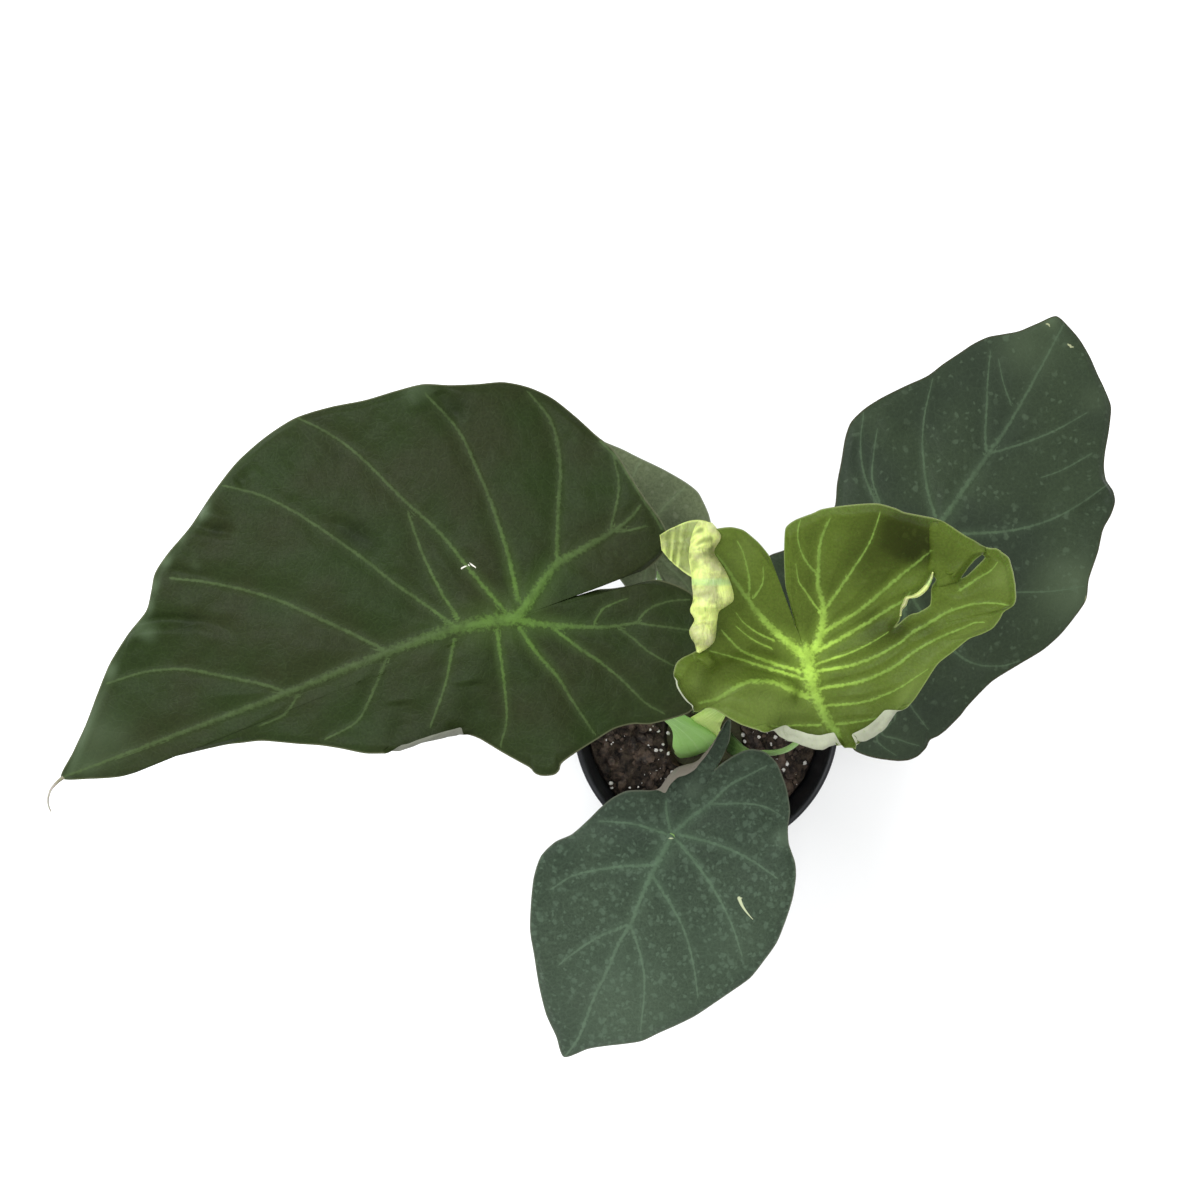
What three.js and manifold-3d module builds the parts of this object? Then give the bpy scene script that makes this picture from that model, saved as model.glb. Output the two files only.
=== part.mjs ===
// Potted regal shields alocasia: five leaves on a short crown, in the soil of a round nursery pot.
// Millimetres, +Z up. The origin is the centre of the pot's underside, +X is right and -Y is the front.
// Leaf outlines are read off a photograph taken from straight above. A point of an outline is a pixel of
// that photograph, and the height of the leaf there turns it into a place in millimetres.
import * as THREE from 'three';
import Module from 'manifold-3d';
import { mergeVertices } from 'three/addons/utils/BufferGeometryUtils.js';

const wasm = await Module();
wasm.setup();

const CLEARANCE = 0.3;
const FULL_TURN = 2 * Math.PI;

// A six inch nursery pot
const POT = {
  rimRadius: 82.5,
  height: 145,
  baseRadius: 59,
  wall: 1.6,
  floor: 2.2,
  collarHeight: 17,
  collarStep: 2.2,
  lipDrop: 1.2,
  sides: 56,
  drainHoles: 6,
  drainRadius: 5.5,
  drainCircle: 44,
};

// Potting mix, filled to 25 mm below the rim, with relief of bark crumbs and white perlite grains
const SOIL = {
  top: 120,
  relief: 1.8,
  reliefPitch: 26,
  rings: 9,
  spokes: 40,
  perlite: { count: 34, smallest: 1.1, largest: 2.1 },
  bark: { count: 20, smallest: 2.4, largest: 4.6 },
  seed: 7,
};

// The crown that all the petioles grow from, a little off the pot's centre
const CROWN = { x: 1, y: -11, radius: 24.5, top: 118, neck: 100, bottom: 68, tipRadius: 9, sides: 30 };

// Where the photograph was taken from: its middle pixel looks straight down from the eye
const VIEW = { middle: 600, eyeX: -65.8, eyeY: 75.7, eyeZ: 1145, focalPixels: 1612 };

const BLADE_THICKNESS = 1.1;
const KEEL_DEPTH = 2.6;
const TEAR_DEPTH = 70;
const PETIOLE_SIDES = 10;
const PETIOLE_STEPS = 13;

// Each leaf: where its petiole meets the blade and how high that is, the tip, the outline clockwise from
// the tip as seen from above, and how far the blade falls towards its tip and towards its back lobes.
// The petiole runs from the crown through the points of its path. Its foot is a sheath, half as wide as
// sheath.wide and half as thick as sheath.thick, that bends round the crown.
const LARGE_LEAF = {
  name: 'leaf_large',
  junction: [518, 617],
  tip: [61, 778],
  height: 335,
  outline: [
    [61, 778], [86, 724], [110, 663], [146, 611], [155, 573], [190, 527], [236, 463], [295, 418],
    [365, 400], [423, 384], [477, 384], [528, 387], [575, 416], [615, 456], [649, 510], [662, 555],
    [629, 576], [597, 588], [553, 604.5], [597, 590.5], [629, 585.5], [657, 579.5], [692, 594],
    [704, 630], [706, 675], [690, 712], [650, 724], [614, 728], [577, 752], [549, 775], [532, 769],
    [485, 737], [438, 733], [388, 753], [333, 747], [263, 741], [225, 745], [158, 761], [119, 777],
  ],
  form: { tipFall: 46, backFall: 5, sideFall: 10, waves: 6, waveHeight: 3.5, wavePhase: 0.4 },
  mesh: { spokes: 64, rings: 6 },
  petiole: {
    path: [[-12, -14, 118.3], [-13.5, -12, 152], [-29, 3, 195], [-70, 39, 268], [-107, 67.2, 335]],
    outward: [-10, 3],
    sheath: { wide: 22, thick: 10, bend: 2, length: 0.34 },
    radius: 4.6,
  },
  color: '#37462a',
};

const REAR_LEAF = {
  name: 'leaf_rear',
  junction: [650, 548],
  tip: [505, 405],
  height: 268,
  outline: [
    [505, 405], [545, 415], [603, 441], [640, 458], [684, 481], [703, 501], [712, 530], [710, 570],
    [698, 600], [685, 610], [672, 598], [663, 580], [657, 569], [654, 580], [648, 602], [636, 608],
    [628, 590], [605, 560], [570, 520], [535, 475], [512, 435],
  ],
  form: { tipFall: 14, backFall: 4, sideFall: 6, waves: 5, waveHeight: 2, wavePhase: 1.2 },
  mesh: { spokes: 44, rings: 5 },
  petiole: {
    path: [[-1, 7, 118.3], [-4, 13, 156], [-16, 45, 210], [-30, 82, 248], [-38.6, 104, 268]],
    outward: [-2, 10],
    sheath: { wide: 14, thick: 9, bend: 1, length: 0.32 },
    radius: 3.2,
  },
  color: '#4d5f4a',
};

const RIGHT_LEAF = {
  name: 'leaf_right',
  junction: [905, 575],
  tip: [1056, 316],
  height: 262,
  outline: [
    [1056, 316], [1080, 340], [1097, 373], [1111, 407], [1105, 453], [1106, 480], [1115, 502],
    [1103, 530], [1089, 579], [1074, 618], [1043, 650], [994, 680], [967, 707], [942, 733], [926, 744],
    [912, 758], [896, 761], [857, 750], [840, 715], [850, 675], [870, 625], [888, 588], [860, 605],
    [820, 625], [785, 630], [765, 610], [760, 580], [768, 557], [786, 549], [810, 530], [835, 505],
    [841, 462], [851, 422], [881, 398], [927, 376], [958, 354], [988, 337], [1019, 331],
  ],
  form: { tipFall: 26, backFall: 12, sideFall: 7, waves: 7, waveHeight: 3, wavePhase: 2 },
  mesh: { spokes: 56, rings: 6 },
  petiole: {
    path: [
      [15.5, -12, 118.3], [20, -15, 150], [33, -14.5, 181], [56, -6, 208], [84, 40, 240], [101.3, 89.4, 262],
    ],
    outward: [10, -1],
    sheath: { wide: 17, thick: 9, bend: 1.5, length: 0.26 },
    radius: 3.4,
  },
  color: '#40533f',
};

const FRONT_LEAF = {
  name: 'leaf_front',
  junction: [671, 837],
  tip: [564, 1057],
  height: 205,
  outline: [
    [564, 1057], [546, 1014], [534, 955], [531, 901], [541, 856], [572, 834], [600, 808], [626, 791],
    [656, 790], [685, 766], [704, 753], [716, 739], [725, 721], [730, 727], [728, 742], [715, 768],
    [721, 764], [746, 748], [770, 757], [782, 780], [790, 811], [788, 844], [796, 877], [787, 917],
    [763, 962], [732, 991], [695, 1016], [659, 1033], [624, 1044], [588, 1049],
  ],
  form: { tipFall: 78, backFall: 4, sideFall: 8, waves: 5, waveHeight: 2.5, wavePhase: 0 },
  mesh: { spokes: 52, rings: 6 },
  petiole: {
    path: [[2, -29.5, 118.3], [-1, -33, 148], [-13, -47, 183], [-24.4, -62.5, 205]],
    outward: [1, -10],
    sheath: { wide: 14, thick: 9, bend: 1, length: 0.4 },
    radius: 3.4,
  },
  color: '#3d5044',
};

const YOUNG_LEAF = {
  name: 'leaf_young',
  junction: [806, 656],
  tip: [849, 748],
  height: 385,
  outline: [
    [849, 748], [819, 750], [793, 745], [767, 731], [742, 725], [714, 707], [695, 712], [678, 694],
    [673, 676], [676, 661], [694, 650], [693, 630], [692, 609], [690, 585], [672, 562], [663, 553],
    [660, 538], [679, 524], [706, 523], [729, 527], [745, 531], [757, 541], [769, 556], [774, 574],
    [785, 600], [794, 624], [789, 602], [785, 564], [788, 528], [813, 513], [859, 504], [895, 508],
    [936, 522], [982, 546], [1002, 554], [1011, 564], [1016, 587], [1000, 613], [969, 636], [938, 664],
    [915, 699], [875, 738],
  ],
  form: { tipFall: 4, backFall: -13, sideFall: -11, waves: 6, waveHeight: 2.5, wavePhase: 0.8 },
  mesh: { spokes: 60, rings: 7 },
  petiole: {
    path: [[2, -9.5, 118.3], [1, -4, 155], [0, 6, 200], [9, 25, 280], [31.3, 49.3, 385]],
    outward: [4, 10],
    sheath: { wide: 11.5, thick: 11.5, bend: 0, length: 0.3 },
    radius: 4.2,
  },
  // The left margin is rolled up: a ridge that runs along these pixels
  roll: { from: [706, 540], to: [704, 640], halfWidth: 17, height: 13 },
  // The tear in the right half, as pixels of its outline
  tear: [[901, 619], [908, 598], [917, 594], [931, 574], [964, 571], [982, 555], [966, 577], [936, 584],
    [929, 606], [915, 615]],
  color: '#7f9c3c',
};

const LEAVES = [LARGE_LEAF, REAR_LEAF, RIGHT_LEAF, FRONT_LEAF, YOUNG_LEAF];

// Small helpers

// Millimetres that one pixel of the photograph covers at height z
function pixelSize(z) {
  return (VIEW.eyeZ - z) / VIEW.focalPixels;
}

// The place, in millimetres, that is seen at a pixel of the photograph when it is at height z
function placeAt([column, row], z) {
  const size = pixelSize(z);
  const x = VIEW.eyeX + (column - VIEW.middle) * size;
  const y = VIEW.eyeY - (row - VIEW.middle) * size;
  return new THREE.Vector3(x, y, z);
}

// Random numbers from 0 to 1 that are the same on every run
function seededRandom(seed) {
  let state = seed;
  return () => {
    state = (state * 1664525 + 1013904223) % 4294967296;
    return state / 4294967296;
  };
}

// Closed skin over a row of rings with the same number of points, with a pole before the first and after
// the last. From the band mirrorFrom on, quads are split along their other diagonal, so that the two
// faces of a blade are split alike.
function skin(firstPole, rings, lastPole, mirrorFrom = Infinity) {
  const around = rings[0].length;
  const points = [firstPole, ...rings.flat(), lastPole];
  const last = points.length - 1;
  const at = (ring, i) => 1 + ring * around + (i % around);
  const triangles = [];
  for (let i = 0; i < around; i += 1) {
    triangles.push([0, at(0, i), at(0, i + 1)]);
    for (let ring = 0; ring < rings.length - 1; ring += 1) {
      const [a, b] = [at(ring, i), at(ring, i + 1)];
      const [c, d] = [at(ring + 1, i), at(ring + 1, i + 1)];
      if (ring >= mirrorFrom) triangles.push([a, c, b], [b, c, d]);
      else triangles.push([a, c, d], [a, d, b]);
    }
    triangles.push([last, at(rings.length - 1, i + 1), at(rings.length - 1, i)]);
  }
  return solid(points, triangles);
}

// Manifold solid of a closed set of triangles, turned so that its faces point out
function solid(points, triangles) {
  let volume = 0;
  for (const [a, b, c] of triangles) {
    volume += points[a].dot(new THREE.Vector3().crossVectors(points[b], points[c]));
  }
  const turned = volume > 0 ? triangles : triangles.map(([a, b, c]) => [a, c, b]);
  return new wasm.Manifold(new wasm.Mesh({
    numProp: 3,
    vertProperties: new Float32Array(points.flatMap((point) => point.toArray())),
    triVerts: new Uint32Array(turned.flat()),
  }));
}

// Manifold solid of a three.js geometry whose shared vertices are not merged yet
function solidOf(geometry) {
  geometry.deleteAttribute('normal');
  geometry.deleteAttribute('uv');
  const merged = mergeVertices(geometry, 1e-4);
  return new wasm.Manifold(new wasm.Mesh({
    numProp: 3,
    vertProperties: new Float32Array(merged.attributes.position.array),
    triVerts: new Uint32Array(merged.index.array),
  }));
}

// Solid of revolution about the Z axis from [radius, z] pairs that start and end on the axis
function turnedSolid(profile, sides) {
  const lathe = new THREE.LatheGeometry(profile.map(([r, z]) => new THREE.Vector2(r, z)), sides);
  return solidOf(lathe.rotateX(Math.PI / 2));
}

// Named mesh with its own material
function meshOf(name, body, { color, roughness, metalness = 0 }) {
  const { vertProperties, triVerts } = body.getMesh();
  const geometry = new THREE.BufferGeometry();
  geometry.setAttribute('position', new THREE.BufferAttribute(new Float32Array(vertProperties), 3));
  geometry.setIndex(new THREE.BufferAttribute(new Uint32Array(triVerts), 1));
  geometry.computeVertexNormals();
  const mesh = new THREE.Mesh(geometry, new THREE.MeshStandardMaterial({ color, roughness, metalness }));
  mesh.name = name;
  return mesh;
}

// Pot

// Inner radius of the pot's tapered wall at height z
function potInside(z) {
  const wallTop = POT.rimRadius - POT.collarStep - POT.wall;
  return THREE.MathUtils.mapLinear(z, POT.floor, POT.height, POT.baseRadius - POT.wall, wallTop);
}

function pot() {
  const collarFoot = POT.height - POT.collarHeight;
  const profile = [
    [0, 0],
    [POT.baseRadius, 0],
    [potInside(collarFoot) + POT.wall, collarFoot],
    [potInside(collarFoot) + POT.wall + POT.collarStep, collarFoot],
    [POT.rimRadius, POT.height - POT.lipDrop],
    [POT.rimRadius - 0.7, POT.height],
    [potInside(POT.height), POT.height],
    [potInside(collarFoot), collarFoot],
    [potInside(POT.floor), POT.floor],
    [0, POT.floor],
  ];
  let body = turnedSolid(profile, POT.sides);
  for (let i = 0; i < POT.drainHoles; i += 1) {
    const hole = new THREE.CylinderGeometry(POT.drainRadius, POT.drainRadius, 4 * POT.floor, 14);
    hole.rotateX(Math.PI / 2);
    hole.translate(POT.drainCircle, 0, 0);
    hole.rotateZ((i / POT.drainHoles) * FULL_TURN);
    body = body.subtract(solidOf(hole));
  }
  return meshOf('pot', body, { color: '#22232a', roughness: 0.5 });
}

// Crown

// Outline of the crown, from its tip to its flat top, made larger all over by grow
function crownSolid(grow, top) {
  const profile = [
    [0, CROWN.bottom - grow],
    [CROWN.tipRadius + grow, CROWN.bottom - grow],
    [CROWN.radius - 4 + grow, CROWN.neck - 12],
    [CROWN.radius + grow, CROWN.neck],
    [CROWN.radius + grow, top],
    [0, top],
  ];
  return turnedSolid(profile, CROWN.sides).translate([CROWN.x, CROWN.y, 0]);
}

// Soil

// Smooth relief between -1 and 1, of wide and fine waves that cross each other
function crumble(x, y) {
  const k = FULL_TURN / SOIL.reliefPitch;
  const wide = Math.sin(0.41 * k * x + 1.3) * Math.sin(0.47 * k * y + 0.4);
  const fine = Math.sin(k * (0.8 * x + 0.5 * y)) * Math.sin(k * (0.9 * y - 0.3 * x) + 2);
  return 0.5 * wide + 0.5 * fine;
}

// Grains half sunk in the soil, at random places between the crown and the pot's wall
function grains({ count, smallest, largest }, random) {
  const placed = [];
  while (placed.length < count) {
    const angle = random() * FULL_TURN;
    const reach = (potInside(SOIL.top) - 7) * Math.sqrt(random());
    const size = THREE.MathUtils.lerp(smallest, largest, random());
    const [x, y] = [reach * Math.cos(angle), reach * Math.sin(angle)];
    const turn = random() * Math.PI;
    if (Math.hypot(x - CROWN.x, y - CROWN.y) < CROWN.radius + largest + 3) continue;
    const grain = new THREE.OctahedronGeometry(size);
    grain.scale(1, 0.8, 0.7);
    grain.rotateZ(turn);
    grain.translate(x, y, SOIL.top + SOIL.relief * crumble(x, y) - 0.1 * size);
    placed.push(solidOf(grain));
  }
  return placed;
}

function soil() {
  const bottom = POT.floor + CLEARANCE;
  const ringAt = (radius, heightAt) => Array.from({ length: SOIL.spokes }, (unused, i) => {
    const angle = (i / SOIL.spokes) * FULL_TURN;
    const [x, y] = [radius * Math.cos(angle), radius * Math.sin(angle)];
    return new THREE.Vector3(x, y, heightAt(x, y));
  });
  const surface = (x, y) => SOIL.top + SOIL.relief * crumble(x, y);
  const facet = Math.cos(Math.PI / POT.sides);
  const edge = potInside(SOIL.top - 4) * facet - CLEARANCE;
  const rings = [];
  for (let ring = 1; ring < SOIL.rings; ring += 1) {
    rings.push(ringAt((edge - 2) * (ring / (SOIL.rings - 1)), surface));
  }
  rings.push(ringAt(edge, () => SOIL.top - 4));
  rings.push(ringAt(potInside(bottom) * facet - CLEARANCE, () => bottom));
  let body = skin(new THREE.Vector3(0, 0, surface(0, 0)), rings, new THREE.Vector3(0, 0, bottom));
  const random = seededRandom(SOIL.seed);
  for (const grain of [...grains(SOIL.bark, random), ...grains(SOIL.perlite, random)]) {
    body = body.add(grain);
  }
  body = body.subtract(crownSolid(CLEARANCE, SOIL.top + 20));
  return meshOf('soil', body, { color: '#3b2a20', roughness: 0.95 });
}

// Leaves

// Height of the blade above its junction at a pixel. It falls towards its tip, its back lobes and its
// sides, by distances counted in lengths of the leaf's axis, and it waves more the further out the pixel
// lies on its spoke, which is what reach counts from 0 to 1.
function bladeRise(leaf, pixel, reach, angle) {
  const { tipFall, backFall, sideFall, waves, waveHeight, wavePhase } = leaf.form;
  const axis = new THREE.Vector2(leaf.tip[0] - leaf.junction[0], leaf.tip[1] - leaf.junction[1]);
  const length = axis.length();
  const out = new THREE.Vector2(pixel[0] - leaf.junction[0], pixel[1] - leaf.junction[1]);
  const along = out.dot(axis) / (length * length);
  const beside = out.cross(axis) / (length * length);
  const fall = along > 0 ? tipFall * along ** 1.7 : backFall * (-along) ** 1.5;
  const side = sideFall * Math.abs(beside) ** 1.6;
  const wave = waveHeight * reach ** 3 * Math.sin(waves * angle + wavePhase);
  return wave - fall - side + rollRise(leaf, pixel);
}

// Height of the ridge that a rolled margin makes
function rollRise(leaf, pixel) {
  if (!leaf.roll) return 0;
  const { from, to, halfWidth, height } = leaf.roll;
  const line = new THREE.Line3(new THREE.Vector3(...from, 0), new THREE.Vector3(...to, 0));
  const point = new THREE.Vector3(...pixel, 0);
  const gap = line.closestPointToPoint(point, true, new THREE.Vector3()).distanceTo(point);
  return height * Math.exp(-((gap / halfWidth) ** 2));
}

// The blade: spokes run from the junction to points spaced evenly along the outline
function blade(leaf) {
  const { spokes, rings } = leaf.mesh;
  const curve = new THREE.CatmullRomCurve3(
    leaf.outline.map(([column, row]) => new THREE.Vector3(column, row, 0)), true, 'catmullrom', 0.35);
  const margin = curve.getSpacedPoints(spokes).slice(0, spokes);
  const top = [];
  const under = [];
  for (let ring = 1; ring <= rings; ring += 1) {
    const reach = ring / rings;
    const upper = margin.map((end) => {
      const column = THREE.MathUtils.lerp(leaf.junction[0], end.x, reach);
      const row = THREE.MathUtils.lerp(leaf.junction[1], end.y, reach);
      const angle = Math.atan2(end.y - leaf.junction[1], end.x - leaf.junction[0]);
      return placeAt([column, row], leaf.height + bladeRise(leaf, [column, row], reach, angle));
    });
    // The first spoke runs to the tip: it carries the midrib as a keel on the underside
    const keel = KEEL_DEPTH * (1 - reach);
    top.push(upper);
    under.unshift(upper.map((point, i) => {
      const depth = BLADE_THICKNESS + (i === 0 ? keel : 0);
      return new THREE.Vector3(point.x, point.y, point.z - depth);
    }));
  }
  const centre = placeAt(leaf.junction, leaf.height);
  const below = new THREE.Vector3(centre.x, centre.y, centre.z - BLADE_THICKNESS - KEEL_DEPTH);
  let body = skin(centre, [...top, ...under], below, rings);
  if (leaf.tear) body = body.subtract(tearCutter(leaf));
  return body;
}

// Upright prism through the torn hole
function tearCutter(leaf) {
  const high = leaf.tear.map((pixel) => placeAt(pixel, leaf.height + TEAR_DEPTH));
  const low = leaf.tear.map((pixel) => placeAt(pixel, leaf.height - TEAR_DEPTH));
  const shape = new THREE.Shape(leaf.tear.map(([column, row]) => new THREE.Vector2(column, row)));
  const cap = THREE.ShapeUtils.triangulateShape(shape.getPoints(), []);
  const count = high.length;
  const triangles = cap.flatMap(([a, b, c]) => [[a, b, c], [a + count, c + count, b + count]]);
  for (let i = 0; i < count; i += 1) {
    const next = (i + 1) % count;
    triangles.push([next, i, i + count], [next, i + count, next + count]);
  }
  return solid([...high, ...low], triangles);
}

// The petiole: oval sections along its path, wide and bent round the crown at the foot
function petiole(leaf) {
  const { path, outward, sheath, radius } = leaf.petiole;
  const curve = new THREE.CatmullRomCurve3(path.map((point) => new THREE.Vector3(...point)));
  const away = new THREE.Vector3(outward[0], outward[1], 0).normalize();
  const rings = [];
  for (let step = 0; step <= PETIOLE_STEPS; step += 1) {
    const t = step / PETIOLE_STEPS;
    const ahead = step === 0 ? new THREE.Vector3(0, 0, 1) : curve.getTangentAt(t);
    const side = new THREE.Vector3().crossVectors(ahead, away).normalize();
    const back = new THREE.Vector3().crossVectors(side, ahead);
    const open = 1 - THREE.MathUtils.smoothstep(t, 0.1, sheath.length + 0.1);
    const slim = THREE.MathUtils.lerp(radius, 0.75 * radius, t);
    const wide = THREE.MathUtils.lerp(slim, sheath.wide / 2, open);
    const thick = THREE.MathUtils.lerp(slim, sheath.thick / 2, open);
    rings.push(Array.from({ length: PETIOLE_SIDES }, (unused, i) => {
      const angle = (i / PETIOLE_SIDES) * FULL_TURN;
      const bend = sheath.bend * open * Math.cos(angle) ** 2;
      return curve.getPointAt(t)
        .addScaledVector(side, wide * Math.cos(angle))
        .addScaledVector(back, thick * Math.sin(angle) - bend);
    }));
  }
  const middle = (ring) => ring.reduce((sum, point) => sum.add(point), new THREE.Vector3())
    .divideScalar(ring.length);
  return skin(middle(rings[0]), rings, middle(rings[PETIOLE_STEPS]));
}

function leafMesh(leaf) {
  return meshOf(leaf.name, blade(leaf).add(petiole(leaf)), { color: leaf.color, roughness: 0.55 });
}

const plant = new THREE.Group();
plant.add(pot(), soil());
plant.add(meshOf('crown', crownSolid(0, CROWN.top), { color: '#8d9a68', roughness: 0.7 }));
for (const leaf of LEAVES) plant.add(leafMesh(leaf));

export default plant;
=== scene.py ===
"""Potted regal shields alocasia: five leaves on a short crown, in the mix of a round nursery pot.

Sizes are millimetres inside the classes and become metres when a mesh is made. The origin is the centre
of the pot's underside, +X is right, +Y is the back and +Z is up. Outlines and veins of the leaves are
trails: columns and rows of pixels, in turn, of the view from straight above. The height of the blade
there gives each pixel its place.
"""

import logging
import math
from dataclasses import dataclass, field
from enum import Enum
from functools import cache

import bmesh
import bpy
import numpy as np
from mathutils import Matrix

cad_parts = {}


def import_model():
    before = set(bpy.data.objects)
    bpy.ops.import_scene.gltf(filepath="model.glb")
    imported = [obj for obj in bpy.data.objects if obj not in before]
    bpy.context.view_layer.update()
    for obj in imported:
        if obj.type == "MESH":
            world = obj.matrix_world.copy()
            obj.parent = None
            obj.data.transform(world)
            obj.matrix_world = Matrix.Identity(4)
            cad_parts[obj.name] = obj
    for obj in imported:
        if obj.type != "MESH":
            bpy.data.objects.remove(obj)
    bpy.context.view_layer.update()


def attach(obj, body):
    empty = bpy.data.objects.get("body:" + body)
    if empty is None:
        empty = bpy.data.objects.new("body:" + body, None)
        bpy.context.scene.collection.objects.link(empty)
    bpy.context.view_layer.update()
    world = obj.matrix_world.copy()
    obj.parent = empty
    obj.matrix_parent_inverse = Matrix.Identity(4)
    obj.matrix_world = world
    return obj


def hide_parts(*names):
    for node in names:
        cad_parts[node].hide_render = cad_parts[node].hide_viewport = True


LOG = logging.getLogger("alocasia")
Array = np.ndarray
Pixel = tuple[float, float]
Trail = tuple[float, ...]
Point = tuple[float, float, float]
Colour = tuple[float, float, float, float]
Socket = bpy.types.NodeSocket
Node = bpy.types.Node
Tree = bpy.types.NodeTree
Material = bpy.types.Material
MM = 0.001
FULL_TURN = 2 * math.pi
# How far from a vein its marks are worked out, in pixels, and the most that they say, in half widths
VEIN_SPAN = 50
FAR = 9.0
# Half the thickness of the skin of the rolled margin and of the torn strip
SKIN_HALF = 0.22
# How much brighter than a colour of its own the light of the studio makes a surface
STUDIO_LIGHT = 1.6
# How far red, green and blue light pass in green tissue, against each other
LEAF_GLOW = (0.5, 1.0, 0.2)


# Small sums


def paint(red: int, green: int, blue: int) -> Colour:
    """Turns a colour as it looks in the studio's light into the one that a shader takes.

    The screen's curve is undone, and the strength of the light is divided out.

    Args:
        red, green, blue: the colour on the screen, 0 to 255.

    Returns:
        The shader's colour.
    """
    linear = [((c / 255 + 0.055) / 1.055) ** 2.4 / STUDIO_LIGHT for c in (red, green, blue)]
    return (linear[0], linear[1], linear[2], 1.0)


def smooth(value: Array, low: float, high: float) -> Array:
    """Rises from 0 at low to 1 at high along 3t^2 - 2t^3."""
    t = np.clip((value - low) / (high - low), 0, 1)
    return t * t * (3 - 2 * t)


def spline(knots: Array, closed: bool, per_span: int = 12, tension: float = 0.5) -> Array:
    """Points of a cardinal spline through the knots.

    Each span is the cubic whose slopes at its ends are tension times the step between the knots on
    either side.

    Args:
        knots: one row for each knot.
        closed: whether the last knot joins the first.
        per_span: points worked out for each span.
        tension: how far the slopes lean on the neighbours.

    Returns:
        The points, one row each. A closed line repeats its first point at its end.
    """
    if closed:
        padded = np.vstack([knots[-1:], knots, knots[:2]])
    else:
        padded = np.vstack([2 * knots[0] - knots[1], knots, 2 * knots[-1] - knots[-2]])
    before, start, end, after = padded[:-3], padded[1:-2], padded[2:-1], padded[3:]
    t = (np.arange(per_span) / per_span)[None, :, None]
    slope_a = tension * (end - before)[:, None]
    slope_b = tension * (after - start)[:, None]
    line = ((2 * t**3 - 3 * t**2 + 1) * start[:, None] + (t**3 - 2 * t**2 + t) * slope_a
            + (3 * t**2 - 2 * t**3) * end[:, None] + (t**3 - t**2) * slope_b)
    return np.vstack([line.reshape(-1, knots.shape[1]), padded[-2]])


def pixels(trail: Trail) -> Array:
    """The pixels of a trail, one row each."""
    return np.array(trail, float).reshape(-1, 2)


def unit(steps: Array) -> Array:
    """Steps, whose parts are in the last axis, brought to a length of one."""
    return steps / np.maximum(np.linalg.norm(steps, axis=-1, keepdims=True), 1e-9)


def around(count: int) -> Array:
    """Angles of so many equal steps round a circle."""
    return np.arange(count) / count * FULL_TURN


def between(ends: Pixel, share: Array) -> Array:
    """Values at shares of the way from the first end to the second."""
    return ends[0] + (ends[1] - ends[0]) * share


def lengths(line: Array) -> Array:
    """Distance from the first point to each point of a line, measured along it."""
    return np.concatenate([[0.0], np.cumsum(np.linalg.norm(np.diff(line, axis=0), axis=1))])


def spaced(line: Array, share: Array) -> Array:
    """Points of a line at shares, 0 to 1, of its length."""
    run = lengths(line)
    return np.stack([np.interp(share * run[-1], run, column) for column in line.T], axis=-1)


def nearest(spots: Array, line: Array) -> tuple[Array, Array, Array, Array]:
    """How far each spot is from a line, on which side and how far along it.

    The foot of each spot on each segment is found, and the nearest of them is kept.

    Args:
        spots: pixels, one row each.
        line: points of the line, one row each.

    Returns:
        The distance, the distance with the sign of the side, the share of the line at the foot, and
        the unit vector along the line there.
    """
    start, step = line[:-1], np.diff(line, axis=0)
    out = spots[:, None] - start[None]
    share = np.clip((out * step).sum(-1) / (step * step).sum(-1), 0, 1)
    off = out - share[..., None] * step
    gap = np.hypot(off[..., 0], off[..., 1])
    pick = gap.argmin(axis=1)
    row = np.arange(len(spots))
    cross = step[pick, 0] * out[row, pick, 1] - step[pick, 1] * out[row, pick, 0]
    along = (pick + share[row, pick]) / len(start)
    return gap[row, pick], np.where(cross < 0, -1, 1) * gap[row, pick], along, unit(step[pick])


def inside(spots: Array, corners: Array) -> Array:
    """Whether each spot is inside a polygon: a ray from it crosses the border an odd number of times.

    Args:
        spots: pixels, one row each.
        corners: the polygon's corners, one row each.

    Returns:
        True for each spot inside.
    """
    x, y = spots[:, :1], spots[:, 1:]
    (ax, ay), (bx, by) = corners.T, np.roll(corners, -1, axis=0).T
    spans = (ay > y) != (by > y)
    with np.errstate(divide="ignore", invalid="ignore"):
        meets = ax + (y - ay) * (bx - ax) / (by - ay)
    return (spans & (x < meets)).sum(axis=1) % 2 == 1


def cloud(x: Array, y: Array, cell: float, seed: int) -> Array:
    """Value noise from -1 to 1: random numbers at the corners of square cells, eased between them.

    Args:
        x, y: where the noise is read.
        cell: width of a cell.
        seed: picks the random numbers.

    Returns:
        The noise, in the shape of x.
    """
    table = np.random.default_rng(seed).uniform(-1, 1, (64, 64))
    u, v = x / cell, y / cell
    i, j = np.floor(u).astype(int), np.floor(v).astype(int)
    s, t = smooth(u - i, 0, 1), smooth(v - j, 0, 1)
    low = table[i % 64, j % 64] * (1 - s) + table[(i + 1) % 64, j % 64] * s
    high = table[i % 64, (j + 1) % 64] * (1 - s) + table[(i + 1) % 64, (j + 1) % 64] * s
    return low * (1 - t) + high * t


def placed(name: str, data: bpy.types.ID) -> bpy.types.Object:
    """Makes an object of a mesh, a lamp or a camera and puts it into the scene.

    Args:
        name: the object's name.
        data: what it shows.

    Returns:
        The object, at the origin.
    """
    made = bpy.data.objects.new(name, data)
    bpy.context.collection.objects.link(made)
    return made


# The view from above


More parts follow.
